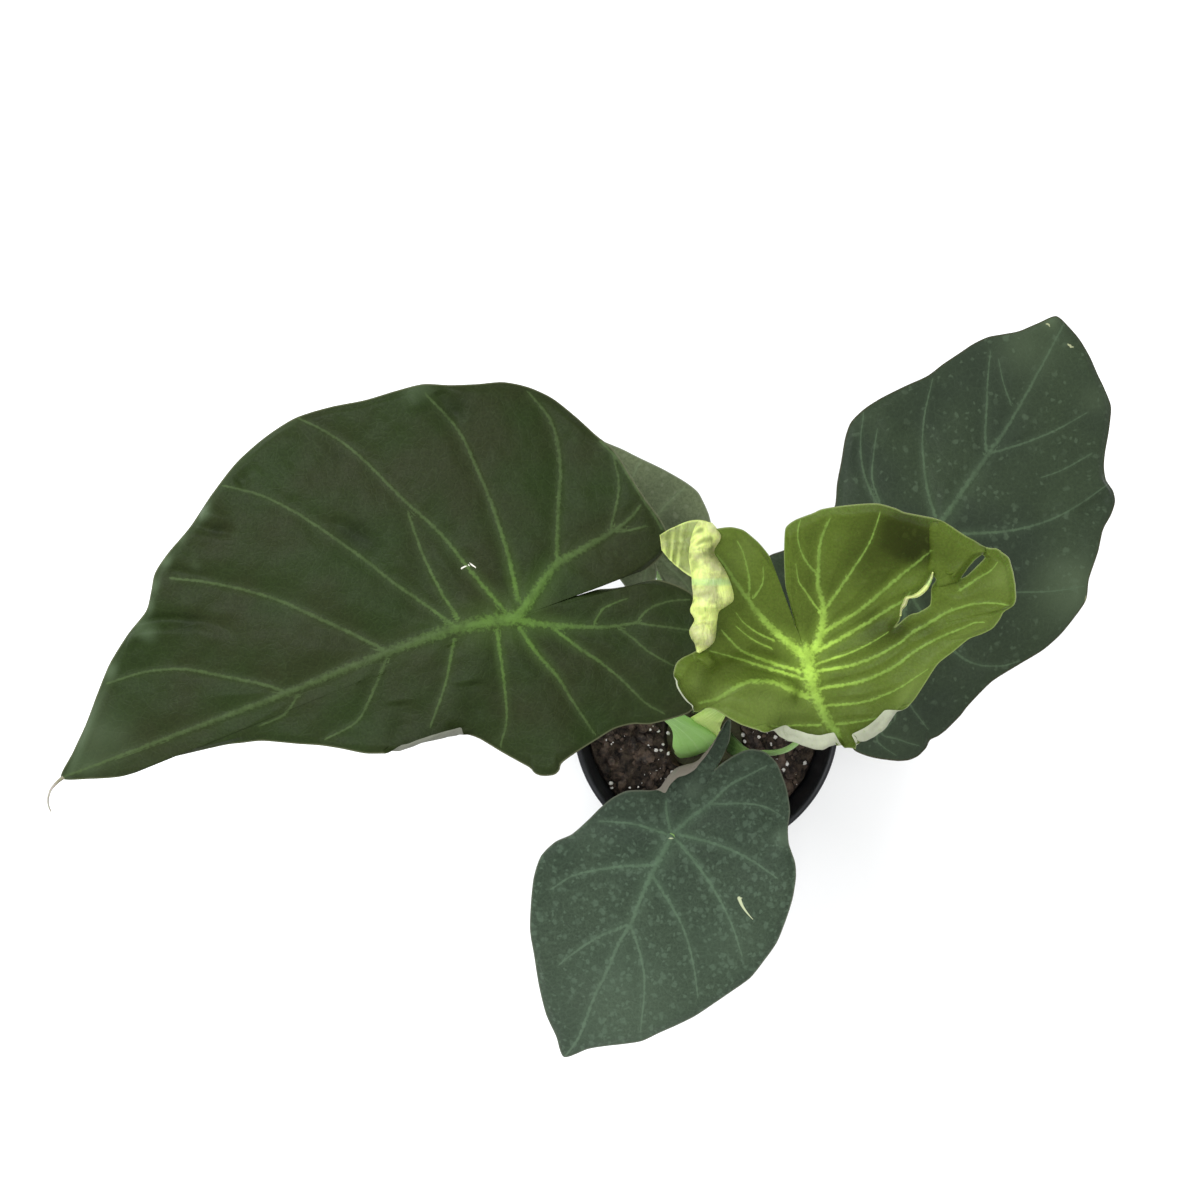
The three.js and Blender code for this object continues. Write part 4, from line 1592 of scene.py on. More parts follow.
@dataclass
class NurseryPot:
    """A six inch round pot of thin black plastic, with a collar, a rolled lip and drain holes."""

    rim_radius: float = 82.5
    height: float = 145.0
    base_radius: float = 59.0
    wall: float = 1.6
    floor: float = 2.2
    collar_height: float = 17.0
    collar_step: float = 2.2
    drain_holes: int = 6
    drain_radius: float = 5.5
    drain_circle: float = 44.0
    sides: int = 192

    def inner(self, z: float) -> float:
        """Inner radius of the wall, which tapers evenly.

        Args:
            z: the height.

        Returns:
            The radius there.
        """
        share = (z - self.floor) / (self.height - self.floor)
        foot, head = self.base_radius - self.wall, self.rim_radius - self.collar_step - self.wall
        return foot + (head - foot) * share

    def profile(self) -> Array:
        """The wall's section, from the floor's outer edge up the outside and back down the inside.

        Returns:
            Radius and height of each knot.
        """
        base, lip, top, floor = self.base_radius, self.rim_radius, self.height, self.floor
        collar, waist = top - self.collar_height, 60.0
        wall = self.inner(collar) + self.wall
        step = wall + self.collar_step
        return np.array([
            (base - 3, 0.0), (base - 1.2, 0.1), (base - 0.2, 0.6), (base + 0.2, 1.6), (base + 0.8, 6.0),
            (self.inner(waist) + self.wall, waist), (wall - 0.15, collar - 1.0), (wall + 0.2, collar - 0.3),
            (step - 0.5, collar), (step, collar + 0.5), (lip - 1.4, top - 4.6), (lip - 1.1, top - 4.0),
            (lip - 0.3, top - 3.4), (lip, top - 2.6), (lip, top - 1.2), (lip - 0.3, top - 0.4),
            (lip - 1.0, top), (lip - 2.6, top), (lip - 3.3, top - 0.3), (self.inner(top), top - 1.1),
            (self.inner(top - 4), top - 4.0), (self.inner(collar), collar), (self.inner(waist), waist),
            (self.inner(floor) + 0.1, floor + 2), (self.inner(floor) - 0.6, floor + 0.4), (base - 3, floor)])

    def wall_surface(self) -> Surface:
        """The wall: its section turned about the axis, open where the floor joins it.

        Returns:
            The wall.
        """
        section = self.profile()
        fine = []
        for start, end in zip(section[:-1], section[1:]):
            count = max(1, int(np.hypot(*(end - start)) / 9))
            fine.append(start + (end - start) * (np.arange(count) / count)[:, None])
        section = np.vstack([*fine, section[-1:]])
        angle = around(self.sides)
        x, y = section[:, :1] * np.cos(angle), section[:, :1] * np.sin(angle)
        rings = np.stack([x, y, section[:, 1:] + 0 * x], -1)
        return Surface(rings.reshape(-1, 3), sheet_faces(len(section), self.sides, wrap=True))

    def floor_surface(self) -> Surface:
        """The floor: a wedge round each drain hole, lofted from the hole to the wedge's border.

        Points of the hole's circle and of the border are paired by their direction from the hole's
        middle. Both faces and the hole's wall come from the same pairs.

        Returns:
            The floor, with both faces of the disc in its middle.
        """
        count, rows = 64, 8
        spread = math.pi / self.drain_holes
        edge, core = self.base_radius - 3, 24.0
        arc = np.linspace(-spread, spread, 33)
        rim = np.stack([edge * np.cos(arc), edge * np.sin(arc)], -1)
        inner = np.stack([core * np.cos(arc[::-2]), core * np.sin(arc[::-2])], -1)
        border = np.vstack([rim, inner, rim[:1]])
        border = spaced(border, np.arange(count) / count)
        out = border - [self.drain_circle, 0]
        course = out / np.hypot(out[:, 0], out[:, 1])[:, None]
        hole = course * self.drain_radius + [self.drain_circle, 0]
        t = np.linspace(0, 1, rows)[:, None, None]
        patch = hole * (1 - t) + border * t
        faces, size, j = sheet_faces(rows, count, wrap=True), rows * count, np.arange(count)
        k = (j + 1) % count
        bore = np.vstack([np.stack([j, k, k + size], -1), np.stack([j, k + size, j + size], -1)])
        faces = np.vstack([faces, faces[:, ::-1] + size, bore])
        parts = []
        for a in around(self.drain_holes):
            turn = np.array([[math.cos(a), math.sin(a)], [-math.sin(a), math.cos(a)]])
            spots = patch.reshape(-1, 2) @ turn
            low = np.column_stack([spots, np.zeros(size)])
            parts.append(Surface(np.vstack([low, low + [0, 0, self.floor]]), faces))
        spokes = 96
        angle, j = around(spokes), np.arange(spokes)
        fan = np.stack([np.zeros(spokes, int), 1 + (j + 1) % spokes, 1 + j], -1)
        for z, flip in ((0.0, 1), (self.floor, -1)):
            ring = np.column_stack([core * np.cos(angle), core * np.sin(angle), np.full(spokes, z)])
            parts.append(Surface(np.vstack([[0, 0, z], ring]), fan[:, ::flip]))
        return Surface.joined(parts)

    def build(self) -> None:
        """Makes the pot and joins its floor to its wall."""
        finish = PlasticFinish("pot_plastic", paint(27, 28, 33), paint(52, 55, 62), paint(76, 76, 80))
        wall, floor = self.wall_surface(), self.floor_surface()
        wall.faces = wall.faces[:, ::-1]
        joined = Surface.joined([wall, floor])
        joined.flat = None
        joined.outward()
        made = joined.piece("nursery_pot", finish.material(), "pot_plastic", ("pot",), 38.0)
        weld(made.data, 0.02)


def weld(mesh: bpy.types.Mesh, reach: float) -> None:
    """Merges points of a mesh that nearly meet, and turns its faces out.

    Args:
        mesh: the mesh.
        reach: how near the points lie, in millimetres.
    """
    work = bmesh.new()
    work.from_mesh(mesh)
    bmesh.ops.remove_doubles(work, verts=work.verts, dist=reach * MM)
    bmesh.ops.recalc_face_normals(work, faces=work.faces)
    work.to_mesh(mesh)
    work.free()


# The leaves' own sizes


class Growth(Enum):
    """How old a leaf is, with the finish that its blade has then."""

    MATURE = LeafFinish(
        "mature_leaf", blade=paint(43, 58, 25), deep=paint(47, 53, 28), light=paint(92, 109, 80),
        dark=paint(26, 34, 16), core_vein=paint(106, 143, 62), vein=paint(84, 103, 61),
        margin=paint(110, 112, 84), fleck=paint(74, 90, 58), under=paint(140, 142, 128),
        under_vein=paint(150, 160, 130), scar=paint(255, 250, 236), vein_strength=0.62, halo=0.08,
        fleck_strength=0.12, fleck_limit=1.2, net=0.04, rough=0.46, gloss=0.06)
    FADED = LeafFinish(
        "faded_leaf", blade=paint(122, 134, 98), deep=paint(102, 114, 82), light=paint(144, 154, 130),
        dark=paint(58, 66, 48), core_vein=paint(128, 146, 108), vein=paint(122, 140, 104),
        margin=paint(150, 156, 132), fleck=paint(126, 136, 106), under=paint(140, 146, 134),
        under_vein=paint(150, 156, 142), scar=paint(160, 160, 130), vein_strength=0.6, halo=0.12,
        fleck_strength=0.6, fleck_limit=0.8, net=0.08)
    GREY = LeafFinish(
        "grey_leaf", blade=paint(57, 70, 49), deep=paint(49, 60, 45), light=paint(92, 108, 80),
        dark=paint(36, 46, 34), core_vein=paint(98, 122, 88), vein=paint(88, 108, 82),
        margin=paint(72, 66, 44), fleck=paint(94, 112, 88), under=paint(132, 138, 128),
        under_vein=paint(150, 156, 142), scar=paint(176, 180, 140), vein_strength=0.65, halo=0.1,
        fleck_strength=0.36, fleck_limit=1.05, net=0.05)
    SPECKLED = LeafFinish(
        "speckled_leaf", blade=paint(68, 83, 65), deep=paint(58, 73, 57), light=paint(108, 128, 104),
        dark=paint(40, 50, 40), core_vein=paint(100, 126, 98), vein=paint(104, 126, 102),
        margin=paint(108, 114, 96), fleck=paint(104, 126, 104), under=paint(142, 134, 122),
        under_vein=paint(150, 150, 138), scar=paint(206, 214, 172), vein_strength=0.62, halo=0.1,
        fleck_strength=0.34, fleck_limit=0.62, net=0.08, grain=0.45)
    YOUNG = LeafFinish(
        "young_leaf", blade=paint(97, 116, 43), deep=paint(86, 102, 37), light=paint(136, 156, 84),
        dark=paint(44, 51, 12), core_vein=paint(200, 243, 99), vein=paint(132, 164, 74),
        margin=paint(146, 158, 98), fleck=paint(114, 132, 60), under=paint(188, 192, 168),
        under_vein=paint(200, 212, 164), scar=paint(150, 150, 90), vein_strength=0.8, halo=0.07,
        halo_reach=4.5, fleck_strength=0.12, net=0.01, margin_width=1.6, margin_strength=0.5, grain=0.25,
        rough=0.38, gloss=0.06, glow=0.05)


# The largest leaf, on the left: its tip points down left and its right back lobe ends over the pot
LARGE_BLADE = Blade(
    "leaf_large", "mature_leaf", (518, 617), (61, 778), 335,
    outline=(
        61, 778, 73, 752, 86, 724, 98, 692, 110, 663, 128, 634, 146, 611, 151, 592, 155, 573, 168, 553,
        190, 527, 212, 494, 236, 463, 264, 438, 295, 418, 330, 407, 365, 400, 395, 391, 423, 384, 450, 385,
        477, 384, 503, 382, 528, 387, 552, 398, 575, 416, 596, 435, 611, 447, 621, 460, 632, 478, 645, 498,
        656, 513, 665, 527, 668, 541, 662, 555, 648, 568.3, 629, 575.5, 612, 582.4, 597, 588.2, 576, 596,
        597, 589.6, 613, 588.3, 629, 585.5, 644, 581.5, 657, 579.5, 676, 585, 692, 594, 700, 610, 704, 630,
        708, 652, 706, 675, 700, 698, 690, 712, 671, 719, 650, 724, 632, 724, 614, 729, 596, 740, 577, 752,
        562, 763, 559.5, 770, 555, 774.5, 547, 776, 540, 775.5, 534.5, 773, 529.5, 767.5, 515, 759.5,
        500, 751, 480, 739, 467, 734.7, 454, 738.2, 434, 742.7, 411, 749, 399, 753.2, 384, 753.6,
        365, 753.5, 340, 748.5, 320, 745.5, 298, 744, 263, 741, 242, 743, 225, 745, 190, 753, 158, 761,
        140, 771, 119, 777, 90, 779),
    form=Form(46, 5, 10, 6, 3.5, 0.4, pucker=2.0, pucker_reach=16, ripple=0.75),
    veins=(
        Vein(15, 12, (518, 617, 487, 622, 454, 628)), Vein(12, 9, (454, 628, 421, 640, 388, 652)),
        Vein(9, 6.5, (388, 652, 338, 672, 287, 693)), Vein(6.5, 2, (287, 693, 210, 722, 130, 752, 61, 778)),
        Vein(4, 2.3, (287, 693, 267, 685, 225, 676, 182, 669, 145, 672, 108, 683)),
        Vein(4.4, 2.4, (388, 652, 341, 628, 275, 599, 217, 584, 172, 578)),
        Vein(3.8, 2.3, (454, 625, 396, 584, 353, 551, 302, 516, 263, 496, 225, 486)),
        Vein(3.6, 2.7, (458, 617, 442, 593, 423, 555, 409, 514)),
        Vein(4.2, 2.3, (503, 609, 470, 570, 442, 535, 413, 508, 396, 492, 361, 457, 330, 434, 298, 418)),
        Vein(5, 2.4, (518, 600, 509, 558, 493, 508, 477, 469, 458, 430, 427, 395)),
        Vein(11, 5.5, (518, 617, 536, 592, 555, 566, 583, 549, 610, 533)),
        Vein(5, 2.5, (610, 533, 627, 521, 640, 506)),
        Vein(4.6, 2.4, (557, 566, 558, 516, 560, 461, 551, 422, 528, 393)),
        Vein(3, 2.2, (610, 531, 619, 488, 613, 453)), Vein(3, 2.2, (610, 532, 625, 531, 645, 526)),
        Vein(9, 5, (518, 620, 540, 624, 564, 626)), Vein(5, 2.6, (564, 626, 606, 627, 636, 623)),
        Vein(2.6, 2.1, (636, 623, 648, 610, 667, 602, 688, 600)),
        Vein(2.6, 2.1, (636, 623, 665, 627, 688, 630)),
        Vein(2.8, 2.1, (620, 629, 634, 639, 648, 651, 672, 665)),
        Vein(2.4, 2, (594, 624, 602, 610, 613, 604, 626, 599)),
        Vein(3.8, 2.2, (552, 627, 578, 647, 599, 661, 620, 678, 645, 702, 664, 713)),
        Vein(4.6, 2.4, (520, 628, 536, 652, 557, 676, 571, 699, 594, 733)),
        Vein(4.2, 2.2, (497, 630, 500, 652, 504, 680, 507, 718, 501, 745)),
        Vein(3.6, 2.1, (454, 640, 446, 683, 431, 726)),
        Vein(3.4, 2.1, (386, 660, 372, 695, 357, 722, 326, 739)),
        Vein(3, 2, (298, 695, 285, 714, 260, 726)),
        Vein(2.5, 2.5, (601, 442, 616, 457, 629, 477, 642, 498, 653, 514, 661, 528))),
    curls=(
        Curl((466, 735), (386, 753.6), 12.5, 178, (12, 9)), Curl((600, 438), (667, 540), 6, 35, (16, 16))),
    folds=(
        Fold(-3, 7, (130, 627, 160, 620, 187, 620.5, 211, 624, 255, 639)),
        Fold(2.4, 8, (122, 640, 150, 632, 190, 637)), Fold(-2.4, 6, (190, 524, 216, 531, 244, 534)),
        Fold(2.2, 7, (194, 508, 214, 515, 240, 520)), Fold(-1.6, 5, (166, 569, 192, 573, 216, 579)),
        Fold(-1.6, 9, (330, 520, 375, 545)), Fold(-2.4, 10, (440, 388, 462, 425)),
        Fold(2.2, 9, (408, 382, 425, 415)), Fold(-2, 8, (236, 484, 266, 468)),
        Fold(-2, 12, (400, 700, 405, 740)), Fold(-2.5, 14, (470, 680, 475, 725))),
    # The band along the left margin is lightened: painted sheen where the margin turns down
    patches=(
        Patch(0.3, 0.0, 4, (60, 790, 80, 735, 95, 690, 108, 660, 125, 630, 143, 608, 148, 590, 151, 572,
            165, 550, 188, 524, 208, 490, 232, 460, 262, 434, 295, 414, 300, 424, 268, 444, 240, 468,
            218, 498, 198, 530, 178, 556, 164, 578, 160, 596, 154, 614, 136, 638, 120, 668, 106, 698,
            94, 728, 82, 757, 72, 780)),),
    scars=(Vein(1.5, 1.3, (462, 568, 466, 566.2)), Vein(1.5, 1.3, (471, 564, 475, 567))),
    # Painted sheen and highlights on folds and along the right margin, painted shade in creases, and lighter
    # and darker patches of its own
    light_and_tone_spots=(
        (150, 633, 12, 0.7), (110, 670, 8, 0.6), (207, 514, 9, 0.6), (418, 390, 17, 0.55),
        (256, 474, 10, 0.3), (187, 623, 12, -0.4), (140, 655, 16, -0.3), (216, 530, 8, -0.5),
        (197, 566, 8, 0.3), (355, 533, 16, -0.3), (455, 408, 20, -0.45), (104, 735, 36, 0.42),
        (86, 766, 14, 0.3), (318, 425, 13, -0.3), (338, 456, 10, -0.3), (352, 528, 20, -0.25),
        (372, 544, 14, -0.3), (250, 492, 16, -0.25), (205, 655, 34, -0.15), (300, 610, 40, 0.12),
        (196, 505, 6, 0.4), (180, 536, 6, 0.4), (166, 560, 7, 0.45), (154, 585, 7, 0.45),
        (150, 605, 7, 0.4), (136, 620, 7, 0.4), (640, 650, 40, 0.12), (560, 590, 22, -0.2),
        (475, 700, 26, -0.2), (606, 443, 6, 0.45), (617, 455, 6, 0.5), (628, 470, 6, 0.5),
        (638, 485, 6, 0.5), (648, 500, 6, 0.5), (656, 512, 6, 0.5), (664, 525, 6, 0.5)),
    core_reach=76, half=108, seed=11)

# The grey leaf behind, of which one margin and the back lobes show past the largest leaf
REAR_BLADE = Blade(
    "leaf_rear", "grey_leaf", (650, 548), (505, 405), 268,
    outline=(
        505, 405, 545, 415, 575, 427, 603, 441, 622, 449, 640, 458, 663, 469, 684, 481, 697, 491, 703, 501,
        709, 515, 712, 530, 713, 550, 710, 570, 706, 588, 698, 600, 685, 606, 672, 597, 664, 584,
        657, 570.5, 656, 578, 650, 592, 640, 600, 628, 590, 605, 560, 570, 520, 535, 475, 512, 435),
    form=Form(14, 4, 6, 5, 2, 1.2, pucker=1.2, ripple=0.5),
    veins=(
        Vein(6, 2, (650, 548, 610, 505, 560, 455, 505, 405)),
        Vein(3.4, 1.2, (640, 537, 655, 518, 668, 503, 684, 488)),
        Vein(2.8, 1.1, (612, 506, 630, 482, 640, 462)), Vein(2.6, 1, (588, 484, 598, 462, 602, 444)),
        Vein(3.4, 1.2, (650, 548, 672, 545, 690, 540, 708, 532)),
        Vein(3.4, 1.3, (650, 548, 668, 566, 684, 582, 694, 596)),
        Vein(2.4, 1, (664, 563, 683, 566, 704, 572)), Vein(3, 1.2, (650, 548, 646, 570, 642, 592)),
        Vein(2.8, 1, (600, 495, 590, 500, 575, 500))),
    # Painted shade where the largest leaf covers it, and its back lobes lighter
    light_and_tone_spots=(
        (700, 545, 22, -0.7), (672, 520, 14, -0.3), (668, 592, 16, 0.5), (640, 590, 20, 0.4)),
    half=56, seed=21)

# The grey leaf on the right: its tip points up right and the youngest leaf hides its junction
RIGHT_BLADE = Blade(
    "leaf_right", "grey_leaf", (905, 575), (1056, 316), 262,
    outline=(
        1056, 316, 1069, 327, 1080, 340, 1090, 357, 1097, 373, 1105, 390, 1111, 407, 1109, 430, 1105, 453,
        1104, 467, 1106, 480, 1113, 491, 1115, 502, 1111, 515, 1103, 530, 1098, 552, 1089, 579, 1086, 600,
        1074, 618, 1060, 635, 1043, 650, 1020, 664, 994, 680, 980, 693, 967, 707, 960, 716, 946, 730,
        938, 736, 930, 740, 926, 748, 918, 756, 909, 760, 898, 761, 880, 759, 867, 756, 854, 750, 845, 735,
        840, 715, 850, 675, 870, 625, 888, 588, 860, 605, 820, 625, 785, 630, 765, 610, 760, 580, 768, 557,
        786, 549, 810, 530, 828, 517, 835, 505, 837, 483, 841, 462, 845, 438, 851, 422, 864, 409, 881, 398,
        905, 386, 927, 376, 943, 364, 958, 354, 973, 344, 988, 337, 1004, 334, 1019, 331, 1038, 323),
    form=Form(26, 12, 7, 7, 3, 2, pucker=1.6, ripple=0.6),
    veins=(
        Vein(9, 6, (905, 575, 925, 545, 945, 516)),
        Vein(5.5, 4.4, (945, 516, 966, 486, 987, 456, 995, 444)),
        Vein(4.4, 1.8, (995, 444, 1004, 432, 1034, 380, 1062, 327)),
        Vein(3.4, 1.3, (987, 452, 985, 432, 987, 383, 990, 352)),
        Vein(3.6, 1.2, (935, 516, 926, 484, 922, 444, 924, 413, 932, 380)),
        Vein(3.4, 1.1, (900, 540, 874, 499, 863, 471, 860, 441, 863, 413)),
        Vein(2.6, 1, (880, 506, 872, 480, 873, 455, 876, 430)),
        Vein(2.8, 1.1, (991, 453, 1022, 444, 1056, 430, 1086, 413)),
        Vein(3.4, 1.1, (960, 534, 1010, 531, 1050, 520, 1080, 504, 1108, 484)),
        Vein(3, 1.1, (930, 572, 975, 590, 1016, 592, 1053, 591, 1083, 586)),
        Vein(3.6, 1.2, (908, 590, 930, 625, 955, 652, 976, 664, 1001, 666, 1019, 661)),
        Vein(4, 1.8, (905, 580, 903, 640, 898, 690, 894, 720)),
        Vein(2.6, 1.1, (900, 690, 913, 710, 921, 721, 927, 729)),
        Vein(2.6, 1.1, (890, 722, 881, 734, 898, 739, 909, 743, 918, 745)),
        Vein(2.2, 1, (880, 728, 876, 739, 883, 747, 895, 755)),
        Vein(3.4, 1.4, (905, 575, 870, 560, 830, 545, 800, 550)),
        Vein(2.4, 1, (850, 552, 825, 575, 795, 590)), Vein(1.8, 1, (1010, 405, 1003, 385, 998, 360)),
        Vein(1.8, 1, (1090, 454, 1062, 470, 1040, 478))),
    folds=(
        Fold(2.5, 10, (1112, 480, 1075, 500, 1040, 515)), Fold(-2.5, 9, (1108, 498, 1075, 516)),
        Fold(2, 14, (880, 405, 900, 440))),
    scars=(
        Vein(2.2, 2.2, (1069, 346, 1070, 347)), Vein(2, 1.6, (1047, 325, 1048, 326)),
        Vein(2.4, 1.4, (1086, 598, 1085, 603))),
    # Lighter towards the top and the lower right and darker in the middle: partly its own colour, partly
    # painted light and shade
    light_and_tone_spots=(
        (865, 420, 18, 0.2), (1030, 345, 42, 0.45), (1080, 465, 26, -0.15), (960, 560, 60, -0.2),
        (930, 400, 34, -0.3), (1070, 590, 46, 0.65), (1050, 320, 10, 0.5), (900, 740, 26, 0.2),
        (1095, 400, 22, 0.35), (850, 460, 24, -0.3), (960, 480, 30, 0.1), (985, 655, 26, -0.2)),
    half=94, seed=31)

# The speckled leaf in front, which hangs down over the pot's rim
FRONT_BLADE = Blade(
    "leaf_front", "grey_leaf", (671, 837), (564, 1057), 205,
    outline=(
        564, 1057, 556, 1036, 546, 1014, 539, 986, 534, 955, 530, 930, 531, 901, 534, 876, 541, 856,
        555, 842, 572, 834, 588, 820, 600, 808, 612, 798, 626, 791, 640, 790, 655, 790, 662, 783, 669, 773,
        679, 765, 689, 762.5, 698.5, 758, 704, 752, 714, 740, 722, 727, 727, 720, 731, 721, 730, 739,
        726, 749, 721, 760, 715, 769, 721, 764, 733, 756, 743, 751, 752, 749, 765, 752, 776, 762, 782, 775,
        787, 790, 790, 811, 788, 828, 789, 844, 795, 862, 796, 877, 793, 897, 787, 917, 777, 942, 763, 962,
        750, 978, 732, 991, 713, 1004, 695, 1016, 677, 1025, 659, 1033, 642, 1041, 624, 1044, 606, 1046,
        588, 1049),
    form=Form(78, 4, 8, 5, 2.5, 0, pucker=1.5, ripple=0.55),
    veins=(
        Vein(7, 4, (671, 837, 656, 865, 643, 893, 631, 924)),
        Vein(4.2, 2.2, (631, 924, 619, 943, 607, 971, 593, 1000, 579, 1037, 564, 1057)),
        Vein(3.6, 1.8, (654, 865, 626, 866, 598, 870, 572, 876, 551, 889)),
        Vein(3.2, 1.7, (668, 835, 652, 829, 631, 823, 600, 821)),
        Vein(2.8, 1.7, (671, 832, 667, 815, 666, 801)),
        Vein(3.6, 1.8, (626, 925, 600, 936, 577, 950, 560, 963)),
        Vein(4.6, 2, (671, 835, 692, 817, 709, 804, 732, 783, 765, 766)),
        Vein(2.4, 1.6, (711, 804, 742, 803, 763, 806, 777, 813)),
        Vein(3.6, 1.8, (678, 834, 709, 842, 732, 850, 756, 863, 776, 877)),
        Vein(3.4, 1.8, (675, 838, 699, 867, 718, 896, 732, 924, 742, 955)),
        Vein(3.4, 1.7, (652, 874, 669, 901, 683, 926, 693, 960, 698, 995)),
        Vein(3.2, 1.7, (632, 928, 640, 952, 645, 983, 641, 1030))),
    curls=(Curl((654, 790), (727, 724), 10, 196, (16, 7)),),
    folds=(Fold(2.5, 14, (745, 752, 740, 790)), Fold(-2, 12, (790, 812, 760, 822))),
    scars=(Vein(3.6, 0.5, (739, 897, 742, 904, 747, 911, 753, 918)), Vein(1.4, 1.2, (670, 838, 672, 838))),
    # Painted sheen on the right and a painted highlight on the raised fold, with lighter and darker patches
    # of its own
    light_and_tone_spots=(
        (784, 838, 13, 0.6), (745, 757, 14, 0.3), (590, 835, 28, 0.2), (700, 850, 22, -0.3),
        (560, 900, 20, -0.2), (625, 1005, 80, 0.36), (735, 940, 40, 0.25), (692, 790, 12, 0.35),
        (640, 880, 16, -0.15), (665, 845, 10, -0.3)),
    half=94, seed=41)

